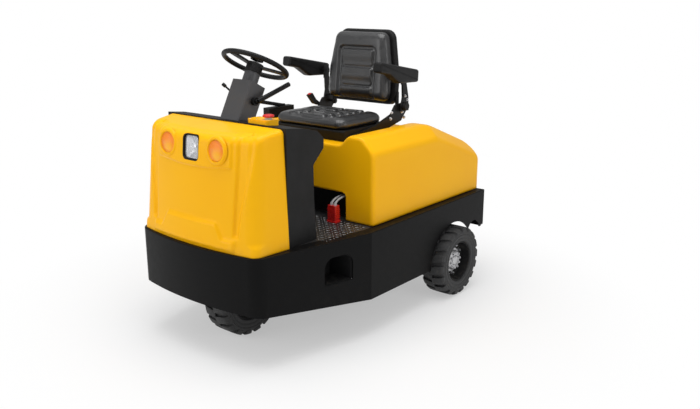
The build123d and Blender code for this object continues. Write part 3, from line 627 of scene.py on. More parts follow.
cowl = {"frontBase": -0.949, "frontTop": -0.898, "halfBase": 0.432, "halfTop": 0.410, "taper": 0.016,
        "rear": -0.7045, "rise": 0.042, "cornerUpper": 0.088, "cornerBase": 0.045, "ledge": 0.618,
        "low": 0.5713, "topFront": 1.112, "topRear": 1.140, "roundFront": 0.046, "roundSide": 0.026,
        "wall": 0.005, "wallRows": 112, "bendRows": 8, "roofRows": 12}
relief = {"fluteDepth": 0.0120, "fluteInner": 0.292, "fluteOuter": 0.372, "fluteLean": 0.010,
          "fluteTaper": 0.062, "fluteLow": 0.640, "fluteHigh": 1.094, "panelDepth": 0.0090,
          "panelEdge": 0.953, "panelHalf": 0.268, "panelTop": 1.110, "stepDepth": 0.0125, "stepTop": 0.712,
          "stepDrop": 0.070, "stepHalf": 0.300}


def cowlOutline(share, corner):       # plan of the cowl at a share of its height, left rear to right rear
    front = cowl["frontBase"] + (cowl["frontTop"] - cowl["frontBase"]) * share
    halfRear = cowl["halfBase"] + (cowl["halfTop"] - cowl["halfBase"]) * share
    halfFront = halfRear - cowl["taper"]
    rise = cowl["rise"]
    radius = (halfFront ** 2 + rise ** 2) / (2 * rise)
    nose = Vector((halfFront, front + rise))
    back = Vector((halfRear, cowl["rear"]))
    along = (back - nose).normalized()
    slope = math.asin(halfFront / radius)
    into = Vector((-math.cos(slope), -math.sin(slope)))
    bend = math.acos(max(-1.0, min(1.0, along.dot(into))))
    cut = corner / math.tan(bend / 2)
    first = nose + into * cut
    last = nose + along * cut
    middle = first + Vector((into.y, -into.x)) * corner
    right = []
    for k in range(62):               # the arched front, then the corner, then the side
        x = first.x * k / 62
        right.append(Vector((x, front + radius - math.sqrt(radius ** 2 - x ** 2))))
    startAngle = math.atan2(first.y - middle.y, first.x - middle.x)
    endAngle = math.atan2(last.y - middle.y, last.x - middle.x)
    for k in range(15):
        angle = startAngle + (endAngle - startAngle) * k / 14
        right.append(middle + Vector((math.cos(angle), math.sin(angle))) * corner)
    for k in range(1, 25):
        right.append(last + (back - last) * k / 24)
    left = [Vector((-p.x, p.y)) for p in reversed(right[1:])]
    return left + right


def cowlRelief(x, z):                 # how far the moulded forms stand out, metres
    side = abs(x)
    inner = relief["fluteInner"] - relief["fluteLean"] * smoothStep(z, 1.05, 0.66)
    outer = relief["fluteOuter"] - relief["fluteTaper"] * smoothStep(z, 1.09, 0.66)
    flute = smoothStep(side, inner - 0.008, inner + 0.006) * smoothStep(side, outer + 0.010, outer - 0.010)
    flute *= smoothStep(z, relief["fluteLow"], relief["fluteLow"] + 0.022)
    flute *= smoothStep(z, relief["fluteHigh"], relief["fluteHigh"] - 0.018)
    edge = relief["panelEdge"] + 0.012 * smoothStep(side, 0.06, 0.25)
    panel = smoothStep(z, edge - 0.002, edge + 0.009)
    panel *= smoothStep(side, relief["panelHalf"], relief["panelHalf"] - 0.018)
    panel *= smoothStep(z, relief["panelTop"], relief["panelTop"] - 0.050)
    stepTop = relief["stepTop"] - relief["stepDrop"] * smoothStep(side, 0.168, 0.226)
    foot = smoothStep(z, stepTop + 0.004, stepTop - 0.022)
    foot *= smoothStep(side, relief["stepHalf"], relief["stepHalf"] - 0.018) * smoothStep(z, 0.575, 0.60)
    return relief["panelDepth"] * panel + relief["stepDepth"] * foot - relief["fluteDepth"] * flute


def mouldedCowl():
    wallRows = cowl["wallRows"]
    rows = []
    top = cowlOutline(1.0, cowl["cornerUpper"])
    for k in range(wallRows):
        share = k / (wallRows - 1)
        z = cowl["low"] + (cowl["topFront"] - cowl["low"]) * share
        widen = smoothStep(z, cowl["ledge"] - 0.008, cowl["ledge"] + 0.012)
        corner = cowl["cornerBase"] + (cowl["cornerUpper"] - cowl["cornerBase"]) * widen
        rows.append(cowlOutline(share, corner))
    count = len(top)
    normals = []
    for j in range(count):
        before, after = top[max(j - 1, 0)], top[min(j + 1, count - 1)]
        tangent = (after - before).normalized()
        normals.append(Vector((tangent.y, -tangent.x)))
    slope = (cowl["topRear"] - cowl["topFront"]) / (cowl["rear"] - cowl["frontTop"])
    travelled = [0.0]
    for j in range(1, count):
        travelled.append(travelled[-1] + (top[j] - top[j - 1]).length)
    columns = []
    for j in range(count):
        roofZ = cowl["topFront"] + slope * (top[j].y - cowl["frontTop"])
        frontness = smoothStep(-normals[j].y, 0.1, 0.9)
        bend = cowl["roundSide"] + (cowl["roundFront"] - cowl["roundSide"]) * frontness
        wallTop = roofZ - bend
        column = []
        for k in range(wallRows):
            z = cowl["low"] + (wallTop - cowl["low"]) * k / (wallRows - 1)
            share = (z - cowl["low"]) / (cowl["topFront"] - cowl["low"])
            place = min(share * (wallRows - 1), wallRows - 1.001)
            i = int(place)
            flat = rows[i][j].lerp(rows[i + 1][j], place - i) if i + 1 < wallRows else rows[i][j]
            out = cowlRelief(flat.x, z) * smoothStep(-normals[j].y, 0.3, 0.7)
            flat = flat + normals[j] * out
            column.append(Vector((flat.x, flat.y, z)))
        edge = column[-1]
        for k in range(1, cowl["bendRows"] + 1):
            angle = math.pi / 2 * k / cowl["bendRows"]
            shift = bend * (1 - math.cos(angle))
            flat = Vector((edge.x, edge.y)) - normals[j] * shift
            column.append(Vector((flat.x, flat.y, wallTop + bend * math.sin(angle))))
        edge = column[-1]
        reach = cowl["halfTop"] - cowl["roundSide"]
        target = Vector((reach * (2 * travelled[j] / travelled[-1] - 1), cowl["rear"]))
        for k in range(1, cowl["roofRows"] + 1):
            flat = Vector((edge.x, edge.y)).lerp(target, k / cowl["roofRows"])
            column.append(Vector((flat.x, flat.y, cowl["topFront"] + slope * (flat.y - cowl["frontTop"]))))
        for p in column:
            p.y = min(p.y, cowl["rear"])
        columns.append(column)
    points, faces = grid(columns)
    piece = newPiece("mouldedCowl", points, faces, "yellow", "chassis")
    thicken(piece, cowl["wall"])
    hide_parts("front_cowl")
    return piece


# Openings cut through a shell by a hidden block, which goes once it has cut

def applyModifiers(piece):
    bpy.context.view_layer.update()
    settled = bpy.data.meshes.new_from_object(piece.evaluated_get(bpy.context.evaluated_depsgraph_get()))
    settled.name = piece.data.name
    piece.modifiers.clear()
    piece.data = settled


def cutThrough(piece, points, faces):
    block = bpy.data.meshes.new("cutter")
    block.from_pydata([tuple(p) for p in points], [], faces)
    holder = bpy.data.objects.new("cutter", block)
    scene.collection.objects.link(holder)
    shaped = bmesh.new()
    shaped.from_mesh(block)
    bmesh.ops.recalc_face_normals(shaped, faces=shaped.faces)
    shaped.to_mesh(block)
    shaped.free()
    cut = piece.modifiers.new("opening", "BOOLEAN")
    cut.object = holder
    cut.operation = "DIFFERENCE"
    cut.solver = "EXACT"
    applyModifiers(piece)
    bpy.data.objects.remove(holder)


# Lamps in the cowl: amber domes in raised rings, and a square headlamp in a dark recess

lampFit = {"x": 0.175, "z": 1.043, "radius": 0.049, "headlampZ": 1.040, "halfWidth": 0.0562,
           "halfHeight": 0.0612, "corner": 0.024, "gap": 0.0008, "trayWall": 0.0012, "mirrorWall": 0.0008,
           "mirrorInset": 0.0085, "bulbDrop": -0.012, "bulbDeep": -0.030}
cowlHeight = cowl["topFront"] - cowl["low"]
faceLean = math.atan2(cowl["frontTop"] - cowl["frontBase"], cowlHeight)


def facePoint(x, z, out=0.0):         # place on the leaning front face, moved out along its normal
    front = cowl["frontBase"] + (cowl["frontTop"] - cowl["frontBase"]) * (z - cowl["low"]) / cowlHeight
    radius = (cowl["halfTop"] ** 2 + cowl["rise"] ** 2) / (2 * cowl["rise"])
    y = front + radius - math.sqrt(radius ** 2 - x ** 2)
    return Vector((x, y, z)) + Vector((0.0, -math.cos(faceLean), math.sin(faceLean))) * out


def onFace(x, z):                     # maps flat lamp drawings onto the face
    up = Vector((0.0, math.sin(faceLean), math.cos(faceLean)))
    return lambda u, v, w: facePoint(x, z) + Vector((u, 0.0, 0.0)) + up * v + Vector((0.0, -up.z, up.y)) * w


def dressLamps():
    outward = (0.0, -math.cos(faceLean), math.sin(faceLean))
    radius = lampFit["radius"]
    for sign, label in ((-1, "Right"), (1, "Left")):
        centre = facePoint(sign * lampFit["x"], lampFit["z"], 0.0025)
        ring = [(0.002, radius + 0.021), (0.0075, radius + 0.0195), (0.0125, radius + 0.0150),
                (0.0150, radius + 0.0095), (0.0148, radius + 0.0050), (0.0125, radius + 0.0020),
                (0.0080, radius + 0.0008), (0.0, radius + 0.0006)]
        bezel = lathe("lampRing" + label, ring, centre, outward, "yellow", "chassis", 96)
        glass = radius - 0.0062
        dome = [(-0.010, radius), (0.0085, radius), (0.0105, radius - 0.0008), (0.0112, radius - 0.0030),
                (0.0098, radius - 0.0045), (0.0102, glass)]
        for k in range(1, 13):
            r = glass * (1 - k / 12)
            dome.append((0.0102 + 0.0085 * (1 - (r / glass) ** 2), r))
        lens = lathe("amberLens" + label, dome, centre, outward, "amber" + label, "chassis", 96)
        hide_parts("amber_lamps")
        seatRing = [(-0.004, radius + 0.0004), (0.0068, radius + 0.0006), (0.0068, radius - 0.0012)]
        rim = lathe("lensSeat" + label, seatRing, centre, outward, "smoothBlack", "chassis", 72)
    toFace = onFace(0.0, lampFit["headlampZ"])
    halfX, halfZ, corner = lampFit["halfWidth"], lampFit["halfHeight"], lampFit["corner"]
    rings = []
    traySteps = ((-0.0012, 0.0078), (0.0008, 0.0088), (0.0028, 0.0072), (0.0040, -0.016), (0.0055, -0.0325),
                 (0.030, -0.0335))    # each an inset and how far in
    for inset, deep in traySteps:
        outline = roundOutline(halfX - inset, halfZ - inset, max(corner - inset, 0.006), 8)
        rings.append([toFace(u, v, deep) for u, v in outline])
    tray = newPiece("headlampTray", *grid(rings, closedColumns=True), "smoothBlack", "chassis")
    thicken(tray, lampFit["trayWall"])
    bowl = []
    mouth = roundOutline(halfX - lampFit["mirrorInset"], halfZ - lampFit["mirrorInset"], corner * 0.9, 8)
    for share in [k / 16 for k in range(17)]:
        scale = 0.12 + 0.88 * share
        deep = -0.031 + 0.024 * share ** 1.7
        bowl.append([toFace(u * scale, v * scale, deep) for u, v in mouth])
    mirror = newPiece("headlampMirror", *grid(bowl, closedColumns=True), "mirrorMetal", "chassis")
    thicken(mirror, lampFit["mirrorWall"])
    bulbProfile = [(0.0, 0.0085), (0.012, 0.0085), (0.0165, 0.0072), (0.019, 0.0042), (0.0198, 0.0)]
    bulbPlace = toFace(0.0, lampFit["bulbDrop"], lampFit["bulbDeep"])
    lathe("headlampBulb", bulbProfile, bulbPlace, outward, "whiteBulb", "chassis", 32)
    layers = []
    lensSteps = ((0.0068, -0.0072), (0.0066, -0.0040), (0.0078, -0.0022), (0.020, -0.0008), (0.045, 0.0002))
    for inset, deep in lensSteps:
        outline = roundOutline(halfX - inset, halfZ - inset, max(corner - inset, 0.004), 8)
        layers.append([toFace(u, v, deep) for u, v in outline])
    points, faces = grid(layers, closedColumns=True)
    faces = endCaps(faces, len(layers[0]), len(layers))
    lens = newPiece("headlampLens", points, faces, "clear", "chassis")
    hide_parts("headlamp")


shell = mouldedCowl()
applyModifiers(shell)
opening = roundOutline(lampFit["halfWidth"] + lampFit["gap"], lampFit["halfHeight"] + lampFit["gap"],
                       lampFit["corner"], 8)
cutThrough(shell, *prism(opening, -0.05, 0.05, onFace(0.0, lampFit["headlampZ"])))
dressLamps()
print("cowl moulded and lamps fitted")


# Hood: planes blended by a soft maximum, so that every crease of the moulding is round

hood = {"front": -0.174, "rear": 0.896, "half": 0.520, "low": 0.5755, "top": 1.031, "breakY": 0.425,
        "rearTop": 0.852, "bevel": 0.078, "rearBevel": 0.048, "troughHalf": 0.300, "troughTop": 0.352,
        "troughZ": 0.976, "soft": 0.017, "wall": 0.006, "mouthHalf": 0.340, "mouthTop": 0.725,
        "mouthCorner": 0.026}


def softMax(first, second, width):
    blend = numpy.clip(0.5 + 0.5 * (first - second) / width, 0.0, 1.0)
    return second + (first - second) * blend + width * blend * (1.0 - blend)


def hoodField(x, y, z):               # below zero inside the hood
    slope = (hood["rearTop"] - hood["top"]) / (hood["rear"] - hood["breakY"])
    side = numpy.abs(x)
    soft = hood["soft"]
    walls = softMax(side - hood["half"], hood["front"] - y, soft * 1.3)
    walls = softMax(walls, y - hood["rear"], soft)
    tailRoof = z - hood["top"] - slope * (y - hood["breakY"])
    roof = softMax(z - hood["top"], tailRoof / math.hypot(1, slope), soft * 1.6)
    bevelX = (side - hood["half"] + hood["bevel"] + (z - hood["top"])) / math.sqrt(2)
    bevelRear = (side - hood["half"] + hood["bevel"] + tailRoof) / math.sqrt(2)
    roof = softMax(roof, numpy.maximum(bevelX, bevelRear), soft)
    tail = y - hood["rear"] + hood["rearBevel"] + z - hood["rearTop"] + slope * hood["rearBevel"]
    roof = softMax(roof, tail / math.sqrt(2), soft)
    body = softMax(walls, roof, soft)
    spread = (hood["troughTop"] - hood["troughHalf"]) / (hood["top"] - hood["troughZ"])
    bank = (side - hood["troughHalf"] - spread * (z - hood["troughZ"])) / math.hypot(1, spread)
    trough = softMax(hood["troughZ"] - z, bank, 0.014)
    return softMax(body, -trough, 0.012)


def mouldedHood():
    centre = numpy.array([0.0, 0.36, 0.50])
    low, high = (-0.53, -0.19, hood["low"]), (0.53, 0.91, 1.05)
    steps = {"x": 108, "y": 96, "z": 40}
    xs = numpy.linspace(low[0], high[0], steps["x"] + 1)
    ys = numpy.linspace(low[1], high[1], steps["y"] + 1)
    zs = numpy.linspace(low[2], high[2], steps["z"] + 1)
    sides = [[[(x, end, z) for x in xs] for z in zs] for end in (low[1], high[1])]
    sides += [[[(end, y, z) for y in ys] for z in zs] for end in (low[0], high[0])]
    sides.append([[(x, y, high[2]) for x in xs] for y in ys])
    points, faces = joinMeshes([grid(rows) for rows in sides])
    aim = numpy.array(points)
    reach = aim - centre
    near, far = numpy.full(len(aim), 0.02), numpy.full(len(aim), 1.3)
    flat = aim[:, 2] <= hood["low"] + 1e-6
    height = numpy.where(flat, hood["low"], 0.0)

    def along(share):
        place = centre + reach * share[:, None]
        place[:, 2] = numpy.where(flat, height, place[:, 2])
        return place

    for _ in range(40):
        middle = (near + far) / 2
        place = along(middle)
        inside = hoodField(place[:, 0], place[:, 1], place[:, 2]) < 0
        near = numpy.where(inside, middle, near)
        far = numpy.where(inside, far, middle)
    settled = along((near + far) / 2)
    settled[:, 0] = numpy.clip(settled[:, 0], -hood["half"], hood["half"])
    settled[:, 1] = numpy.clip(settled[:, 1], hood["front"], hood["rear"])
    settled[:, 2] = numpy.clip(settled[:, 2], hood["low"], hood["top"])
    piece = newPiece("mouldedHood", [Vector(p) for p in settled.tolist()], faces, "yellow", "hood")
    thicken(piece, hood["wall"])
    applyModifiers(piece)
    mouth = roundOutline(hood["mouthHalf"], hood["mouthTop"] - hood["low"] + 0.02, hood["mouthCorner"], 6)
    cutThrough(piece, *prism(mouth, -0.03, 0.03, lambda u, v, w: Vector((u, hood["front"] + w,
                                                                         hood["low"] - 0.02 + v))))
    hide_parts("hood_shell")


mouldedHood()
print("hood moulded")


# Seat pads: a slightly small form swelled by cloth pressure, then its moulded channels

cloth = {"pressure": 4.0, "quality": 3, "stretch": 12.0, "bend": 2.0, "frames": 20, "voxel": 0.0078}


def swell(piece, cap):                # cap is the most that a point may move
    skin = piece.modifiers.new("skin", "REMESH")
    skin.mode = "VOXEL"
    skin.voxel_size = cloth["voxel"]
    applyModifiers(piece)
    rest = numpy.empty(len(piece.data.vertices) * 3)
    piece.data.vertices.foreach_get("co", rest)
    settings = piece.modifiers.new("swell", "CLOTH").settings
    settings.use_pressure = True
    settings.uniform_pressure_force = cloth["pressure"]
    settings.effector_weights.gravity = 0.0
    settings.quality = cloth["quality"]
    settings.tension_stiffness = cloth["stretch"]
    settings.compression_stiffness = cloth["stretch"]
    settings.bending_stiffness = cloth["bend"]
    for frameNumber in range(1, cloth["frames"] + 1):
        scene.frame_set(frameNumber)
    applyModifiers(piece)
    scene.frame_set(1)
    moved = numpy.empty(len(rest))
    piece.data.vertices.foreach_get("co", moved)
    shift = (moved - rest).reshape(-1, 3)
    length = numpy.linalg.norm(shift, axis=1)
    scale = numpy.where(length > cap, cap / numpy.maximum(length, 1e-9), 1.0)
    piece.data.vertices.foreach_set("co", (rest.reshape(-1, 3) + shift * scale[:, None]).ravel())
    relax = piece.modifiers.new("relax", "SMOOTH")
    relax.iterations = 5
    finer = piece.modifiers.new("finer", "SUBSURF")
    finer.levels = 1
    finer.render_levels = 1
    applyModifiers(piece)
    piece.data.polygons.foreach_set("use_smooth", [True] * len(piece.data.polygons))


def padForm(name, outline, rows, toWorld, body):   # rows of (share to the middle, inset, height), upwards
    count = len(outline)
    middle = Vector((sum(u for u, v in outline) / count, sum(v for u, v in outline) / count))
    rings = []
    for share, inset, height in rows:
        flats = [place.lerp(middle, share) for place in insetOutline(outline, inset)]
        rings.append([toWorld(flat.x, flat.y, height) for flat in flats])
    return newPiece(name, *grid(rings, closedColumns=True), "vinyl", body)


def pressChannels(piece, fromWorld, outward, depthAt, facing=0.35):
    mesh = piece.data
    outward = Vector(outward).normalized()
    for vertex in mesh.vertices:
        lean = vertex.normal.dot(outward)
        if lean > facing:
            u, v = fromWorld(vertex.co)
            vertex.co = vertex.co + outward * depthAt(u, v) * smoothStep(lean, facing, facing + 0.35)
    mesh.update()


def boxField(u, v, left, right, low, high, corner):   # below zero inside a rounded box
    across = abs(u - (left + right) / 2) - (right - left) / 2 + corner
    along = abs(v - (low + high) / 2) - (high - low) / 2 + corner
    return math.hypot(max(across, 0.0), max(along, 0.0)) + min(max(across, along), 0.0) - corner


def pressed(u, v, left, right, low, high, corner, soft):
    return smoothStep(-boxField(u, v, left, right, low, high, corner), -soft, soft)


seat = {"half": 0.268, "front": -0.116, "rear": 0.284, "base": 1.0345, "top": 1.098, "corner": 0.060,
        "slim": 0.008, "swell": 0.0075, "barRise": 0.0105, "ledge": 0.009, "insertX": 0.156,
        "insertFront": -0.078, "insertRear": 0.262, "recess": 0.0085, "groove": 0.0060,
        "bars": ((-0.058, -0.016, 0.086), (0.010, 0.052, 0.080), (0.078, 0.120, 0.080),
                 (0.146, 0.184, 0.134), (0.206, 0.244, 0.134))}


def seatDepth(x, y):
    reach = seat["insertX"]
    inside = pressed(x, y, -reach, reach, seat["insertFront"], seat["insertRear"], 0.030, 0.006)
    ledge = seat["ledge"]
    rim = pressed(x, y, -reach - ledge, reach + ledge, seat["insertFront"] - ledge,
                  seat["insertRear"] + ledge, 0.036, 0.006)
    depth = -seat["recess"] * inside - seat["groove"] * (rim - inside)
    bars = 0.0
    for front, rear, wide in seat["bars"]:
        for sign in (-1, 1):
            if wide > 0.10:
                bars = max(bars, pressed(sign * x, y, 0.010, wide, front, rear, 0.010, 0.005))
            else:
                bars = max(bars, pressed(sign * x, y, 0.104, 0.140, front + 0.008, rear + 0.008, 0.009,
                                         0.005))
        if wide < 0.10:
            bars = max(bars, pressed(x, y, -wide, wide, front, rear, 0.012, 0.005))
    return depth + seat["barRise"] * bars * inside


def seatPad():
    slim = seat["slim"]
    half = seat["half"] - slim
    depth = (seat["rear"] - seat["front"]) / 2 - slim
    middleY = (seat["rear"] + seat["front"]) / 2
    outline = []
    for u, v in roundOutline(half, depth, seat["corner"], 10):
        pull = 0.006 * (1 - min(abs(u) / half, 1.0) ** 4) * (1 - min(abs(v) / depth, 1.0) ** 4)
        outline.append((u * (1 - pull), v * (1 - pull)))
    base = seat["base"] + 0.002
    top = seat["top"] - slim
    rows = [(0.98, 0.0, base), (0.4, 0.0, base), (0.0, 0.020, base), (0.0, 0.006, base + 0.006),
            (0.0, 0.0, base + 0.018), (0.0, 0.0, base + 0.030), (0.0, 0.004, base + 0.038),
            (0.0, 0.012, top - 0.006), (0.0, 0.026, top), (0.0, 0.055, top + 0.001),
            (0.35, 0.055, top - 0.002), (0.98, 0.0, top - 0.003)]
    pad = padForm("seatPad", outline, rows, lambda u, v, w: Vector((u, middleY + v, w)), "hood")
    swell(pad, seat["swell"])
    pressChannels(pad, lambda place: (place.x, place.y), (0, 0, 1), seatDepth)
    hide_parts("seat_cushion")


back = {"tilt": math.radians(6.0), "y": 0.384, "z": 1.122, "half": 0.240, "topHalf": 0.196, "height": 0.424,
        "shoulder": 0.200, "thick": 0.076, "insertHalf": 0.128, "insertLow": 0.022, "insertTop": 0.312,
        "slim": 0.007, "swell": 0.0065, "rimDepth": 0.0125, "padRise": 0.0165,
        "pads": ((0.224, 0.300), (0.112, 0.196), (0.030, 0.086))}
backOut = Vector((0.0, -math.cos(back["tilt"]), math.sin(back["tilt"])))
backUp = Vector((0.0, math.sin(back["tilt"]), math.cos(back["tilt"])))


def onBack(u, v, w):
    return Vector((u, back["y"], back["z"])) + backUp * v + backOut * w


def fromBack(place):
    return place.x, (place - Vector((0.0, back["y"], back["z"]))).dot(backUp)


def roundCorners(corners, radii, steps=8):
    outline = []
    count = len(corners)
    for j in range(count):
        before, here, after = (Vector(corners[(j + k) % count]) for k in (-1, 0, 1))
        toBefore = (before - here).normalized()
        toAfter = (after - here).normalized()
        half = math.acos(max(-1.0, min(1.0, toBefore.dot(toAfter)))) / 2
        cut = radii[j] / math.tan(half)
        middle = here + (toBefore + toAfter).normalized() * (radii[j] / math.sin(half))
        start = here + toBefore * cut - middle
        end = here + toAfter * cut - middle
        for k in range(steps + 1):
            share = k / steps
            outline.append(tuple(middle + start.normalized().slerp(end.normalized(), share) * radii[j]))
    return outline


def backDepth(u, v):
    half = back["insertHalf"]
    rim = pressed(u, v, -half - 0.008, half + 0.008, back["insertLow"] - 0.012, back["insertTop"] + 0.010,
                  0.034, 0.008)
    inside = pressed(u, v, -half, half, back["insertLow"], back["insertTop"], 0.028, 0.008)
    pads = 0.0
    for low, top in back["pads"]:
        rise = smoothStep(v, top + 0.007, top - 0.006)
        fall = 0.30 + 0.70 * smoothStep(v, low - 0.004, low + 0.050)
        shape = pressed(u, v, -half + 0.013, half - 0.013, low - 0.014, top + 0.012, 0.022, 0.008)
        pads = max(pads, rise * fall * shape)
    return back["padRise"] * pads * inside - back["rimDepth"] * rim


def backPad():
    slim = back["slim"] + 0.005
    half, top, shoulder = back["half"], back["topHalf"], back["shoulder"]
    corners = [(-half + 0.016, 0.0), (half - 0.016, 0.0), (half, shoulder * 0.3), (half, shoulder),
               (top, back["height"]), (-top, back["height"]), (-half, shoulder), (-half, shoulder * 0.3)]
    radii = [0.040, 0.040, 0.060, 0.200, 0.062, 0.062, 0.200, 0.060]
    outline = roundCorners(corners, radii)
    thick = back["thick"] - back["slim"]
    rows = [(0.98, slim, 0.002), (0.4, slim, 0.002), (0.0, slim + 0.012, 0.002), (0.0, slim + 0.002, 0.008),
            (0.0, slim, 0.022), (0.0, slim + 0.001, 0.040), (0.0, slim + 0.007, thick - 0.014),
            (0.0, slim + 0.020, thick - 0.004), (0.0, slim + 0.040, thick), (0.0, slim + 0.070, thick),
            (0.5, slim + 0.070, thick - 0.002), (0.98, slim, thick - 0.002)]
    pad = padForm("backPad", outline, rows, onBack, "backrest")
    swell(pad, back["swell"])
    pressChannels(pad, fromBack, backOut, backDepth)
    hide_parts("backrest_cushion")


seatPad()
backPad()
print("seat padded")


# Armrests: foam pads with a rounded top and a flat outer cheek

arm = {"x": 0.335, "width": 0.060, "middle": (0.27, 1.32),
       "radii": [0.014, 0.016, 0.014, 0.014, 0.060, 0.040],
       "outline": [(0.448, 1.256), (0.452, 1.326), (0.096, 1.390), (0.088, 1.334), (0.180, 1.316),
                   (0.270, 1.262)],
       "edge": [(0.0, 0.016), (0.0005, 0.010), (0.003, 0.004), (0.008, 0.001), (0.014, 0.0)]}


def armPad(sign, label):
    outline = roundCorners(arm["outline"], arm["radii"], 6)
    half = arm["width"] / 2
    # Across the pad: how far along X, and how far the outline draws in there
    across = [(-half + deep, inset) for deep, inset in arm["edge"]] + [(0.0, 0.0)]
    across += [(half - deep, inset) for deep, inset in reversed(arm["edge"])]
    rings = []
    for place, inset in across:
        flats = insetOutline(outline, inset, Vector(arm["middle"]))
        rings.append([Vector((sign * arm["x"] + place, flat.x, flat.y)) for flat in flats])
    points, faces = grid(rings, closedColumns=True)
    pad = newPiece(label + "ArmPad", points, endCaps(faces, len(outline), len(rings)), "pad",
                   label + "_armrest")
    for face in pad.data.polygons:
        face.use_smooth = len(face.vertices) < 5
    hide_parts(label + "_armrest")


armPad(1, "left")
armPad(-1, "right")
print("armrests padded")


# Emergency stop: a mushroom button on its pale ring, over the yellow box

stop = {"screwX": (0.166, 0.210), "screwY": 0.030, "screwRadius": 0.0042, "screwSunk": 0.0004,
        "screwTop": 0.0016}


def stopButton():
    low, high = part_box("emergency_stop_button")
    centre = ((low.x + high.x) / 2, (low.y + high.y) / 2)
    radius = (high.x - low.x) / 2
    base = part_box("emergency_stop_box")[1].z
    tall = high.z - base
    capShares = [(0.42, 0.55), (0.46, 0.90), (0.55, 0.985), (0.68, 1.0), (0.80, 0.975), (0.90, 0.88),
                 (0.965, 0.68), (0.99, 0.42), (0.975, 0.20), (0.965, 0.0)]   # of its height and its radius
    cap = [(tall * 0.42, 0.004)] + [(tall * up, radius * out) for up, out in capShares]
    button = lathe("stopButton", cap, (*centre, base), (0, 0, 1), "red", "chassis", 64)
    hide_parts("emergency_stop_button")
    stem = [(0.0, radius * 0.66), (tall * 0.10, radius * 0.66), (tall * 0.14, radius * 0.58),
            (tall * 0.46, radius * 0.54)]
    lathe("stopStem", stem, (*centre, base), (0, 0, 1), "paleGreen", "chassis", 48)
    head = roundOutline(stop["screwRadius"], stop["screwRadius"], stop["screwRadius"] - 0.0001, 4)
    parts = []
    for x in stop["screwX"]:
        for dy in (-stop["screwY"], stop["screwY"]):
            middle = Vector((x, centre[1] + dy, base))
            parts.append(prism(head, -stop["screwSunk"], stop["screwTop"],
                               lambda u, v, w, m=middle: m + Vector((u, v, w))))
    screws = soften(newPiece("stopScrews", *joinMeshes(parts), "zinc", "chassis", False), 0.0005, 2)


stopButton()


# Seat hardware: bolts on the side plates and the buckle's red button

# Pairs of bolts: place, pitch, size, height and the angle of the first
seatBolts = {
    "reclineBolts": ((0.2803, 0.300, 1.0735), 0.018, 0.0075, 0.007, 30),
    "anchorBolts": ((0.2803, 0.415, 1.068), 0.020, 0.0085, 0.008, 75),
    "uprightBolts": ((0.298, 0.420, 1.165), 0.016, 0.0065, 0.006, 88),
    "uprightBoltsFar": ((-0.298, 0.420, 1.165), 0.016, 0.0065, 0.006, 88),
}
buckle = {"pushY": 0.2465, "pushZ": 1.1562, "margin": 0.0035, "halfDepth": 0.0095, "corner": 0.003,
          "proud": 0.0026, "run": 0.030, "climb": 0.012}


def seatHardware():
    for name, (place, pitch, size, height, start) in seatBolts.items():
        outward = (1 if place[0] > 0 else -1, 0, 0)
        boltRing(name, place, outward, pitch, 2, size, height, "zinc", "hood", start)
    low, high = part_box("belt_buckle")
    top = Vector(((low.x + high.x) / 2, buckle["pushY"], buckle["pushZ"]))
    along = Vector((0.0, buckle["run"], buckle["climb"])).normalized()
    up = Vector((0.0, -buckle["climb"], buckle["run"])).normalized()
    outline = roundOutline((high.x - low.x) / 2 - buckle["margin"], buckle["halfDepth"], buckle["corner"], 4)
    push = prism(outline, 0.0, buckle["proud"], lambda x, y, z: top + Vector((x, 0, 0)) + along * y + up * z)
    button = soften(newPiece("buckleButton", *push, "red", "hood", False), 0.0008, 3)


seatHardware()
print("seat hardware on")


# Steering wheel: the cap on its boss

boss = {"lean": math.radians(27.6), "centre": (0.0, -0.475, 1.396), "lift": 0.0235,
        "crown": [(0.0, 0.034), (0.0035, 0.0335), (0.0062, 0.030), (0.0072, 0.022), (0.0066, 0.012),
                  (0.0064, 0.0)]}


def steeringTrim():
    axis = Vector((0.0, math.sin(boss["lean"]), math.cos(boss["lean"])))
    middle = Vector(boss["centre"]) + axis * boss["lift"]
    cap = lathe("bossCap", boss["crown"], middle, axis, "smoothBlack", "steering_wheel", 48)


steeringTrim()


# Battery connector: its ribs and collar, and a boot round each lead

plug = {"ribs": 5, "firstRib": 0.024, "pitch": 0.011, "ribHeight": 0.0045, "ribOut": 0.0016,
        "ribCorner": 0.003, "collarOut": 0.004, "collarHeight": 0.010,
        "boot": [(-0.001, 0.0095), (0.004, 0.0092), (0.014, 0.0072), (0.016, 0.0058)]}


def connectorTrim():
    low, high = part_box("battery_connector")
    middle = (low + high) / 2

    def ring(out, corner, bottom, top):
        outline = roundOutline((high.x - low.x) / 2 + out, (high.y - low.y) / 2 + out, corner, 4)
        return prism(outline, bottom, top, lambda x, y, h: Vector((middle.x + x, middle.y + y, h)))

    parts = []
    for k in range(plug["ribs"]):
        z = low.z + plug["firstRib"] + plug["pitch"] * k
        parts.append(ring(plug["ribOut"], plug["ribCorner"], z, z + plug["ribHeight"]))
    parts.append(ring(plug["collarOut"], plug["collarOut"], low.z, low.z + plug["collarHeight"]))
    ribs = soften(newPiece("connectorRibs", *joinMeshes(parts), "red", "chassis", False), 0.0008, 2)
    for dx, label in ((-leads["apart"], "A"), (leads["apart"], "B")):
        base = Vector((leads["centreX"] + dx, leads["plugY"], high.z))
        boot = lathe("leadBoot" + label, plug["boot"], base, (0.0, 0.08, 1.0), "lead", "chassis", 32)


connectorTrim()
print("controls trimmed")


# Boot pockets behind the foot holes

foot = {"front": -0.545, "rear": -0.372, "low": 0.352, "high": 0.492, "corner": 0.055, "inner": 0.392,
        "wall": 0.003, "skirtHalf": 0.576, "skirtY": -0.254, "skirtSlope": 0.2209, "skirtWall": 0.0105}


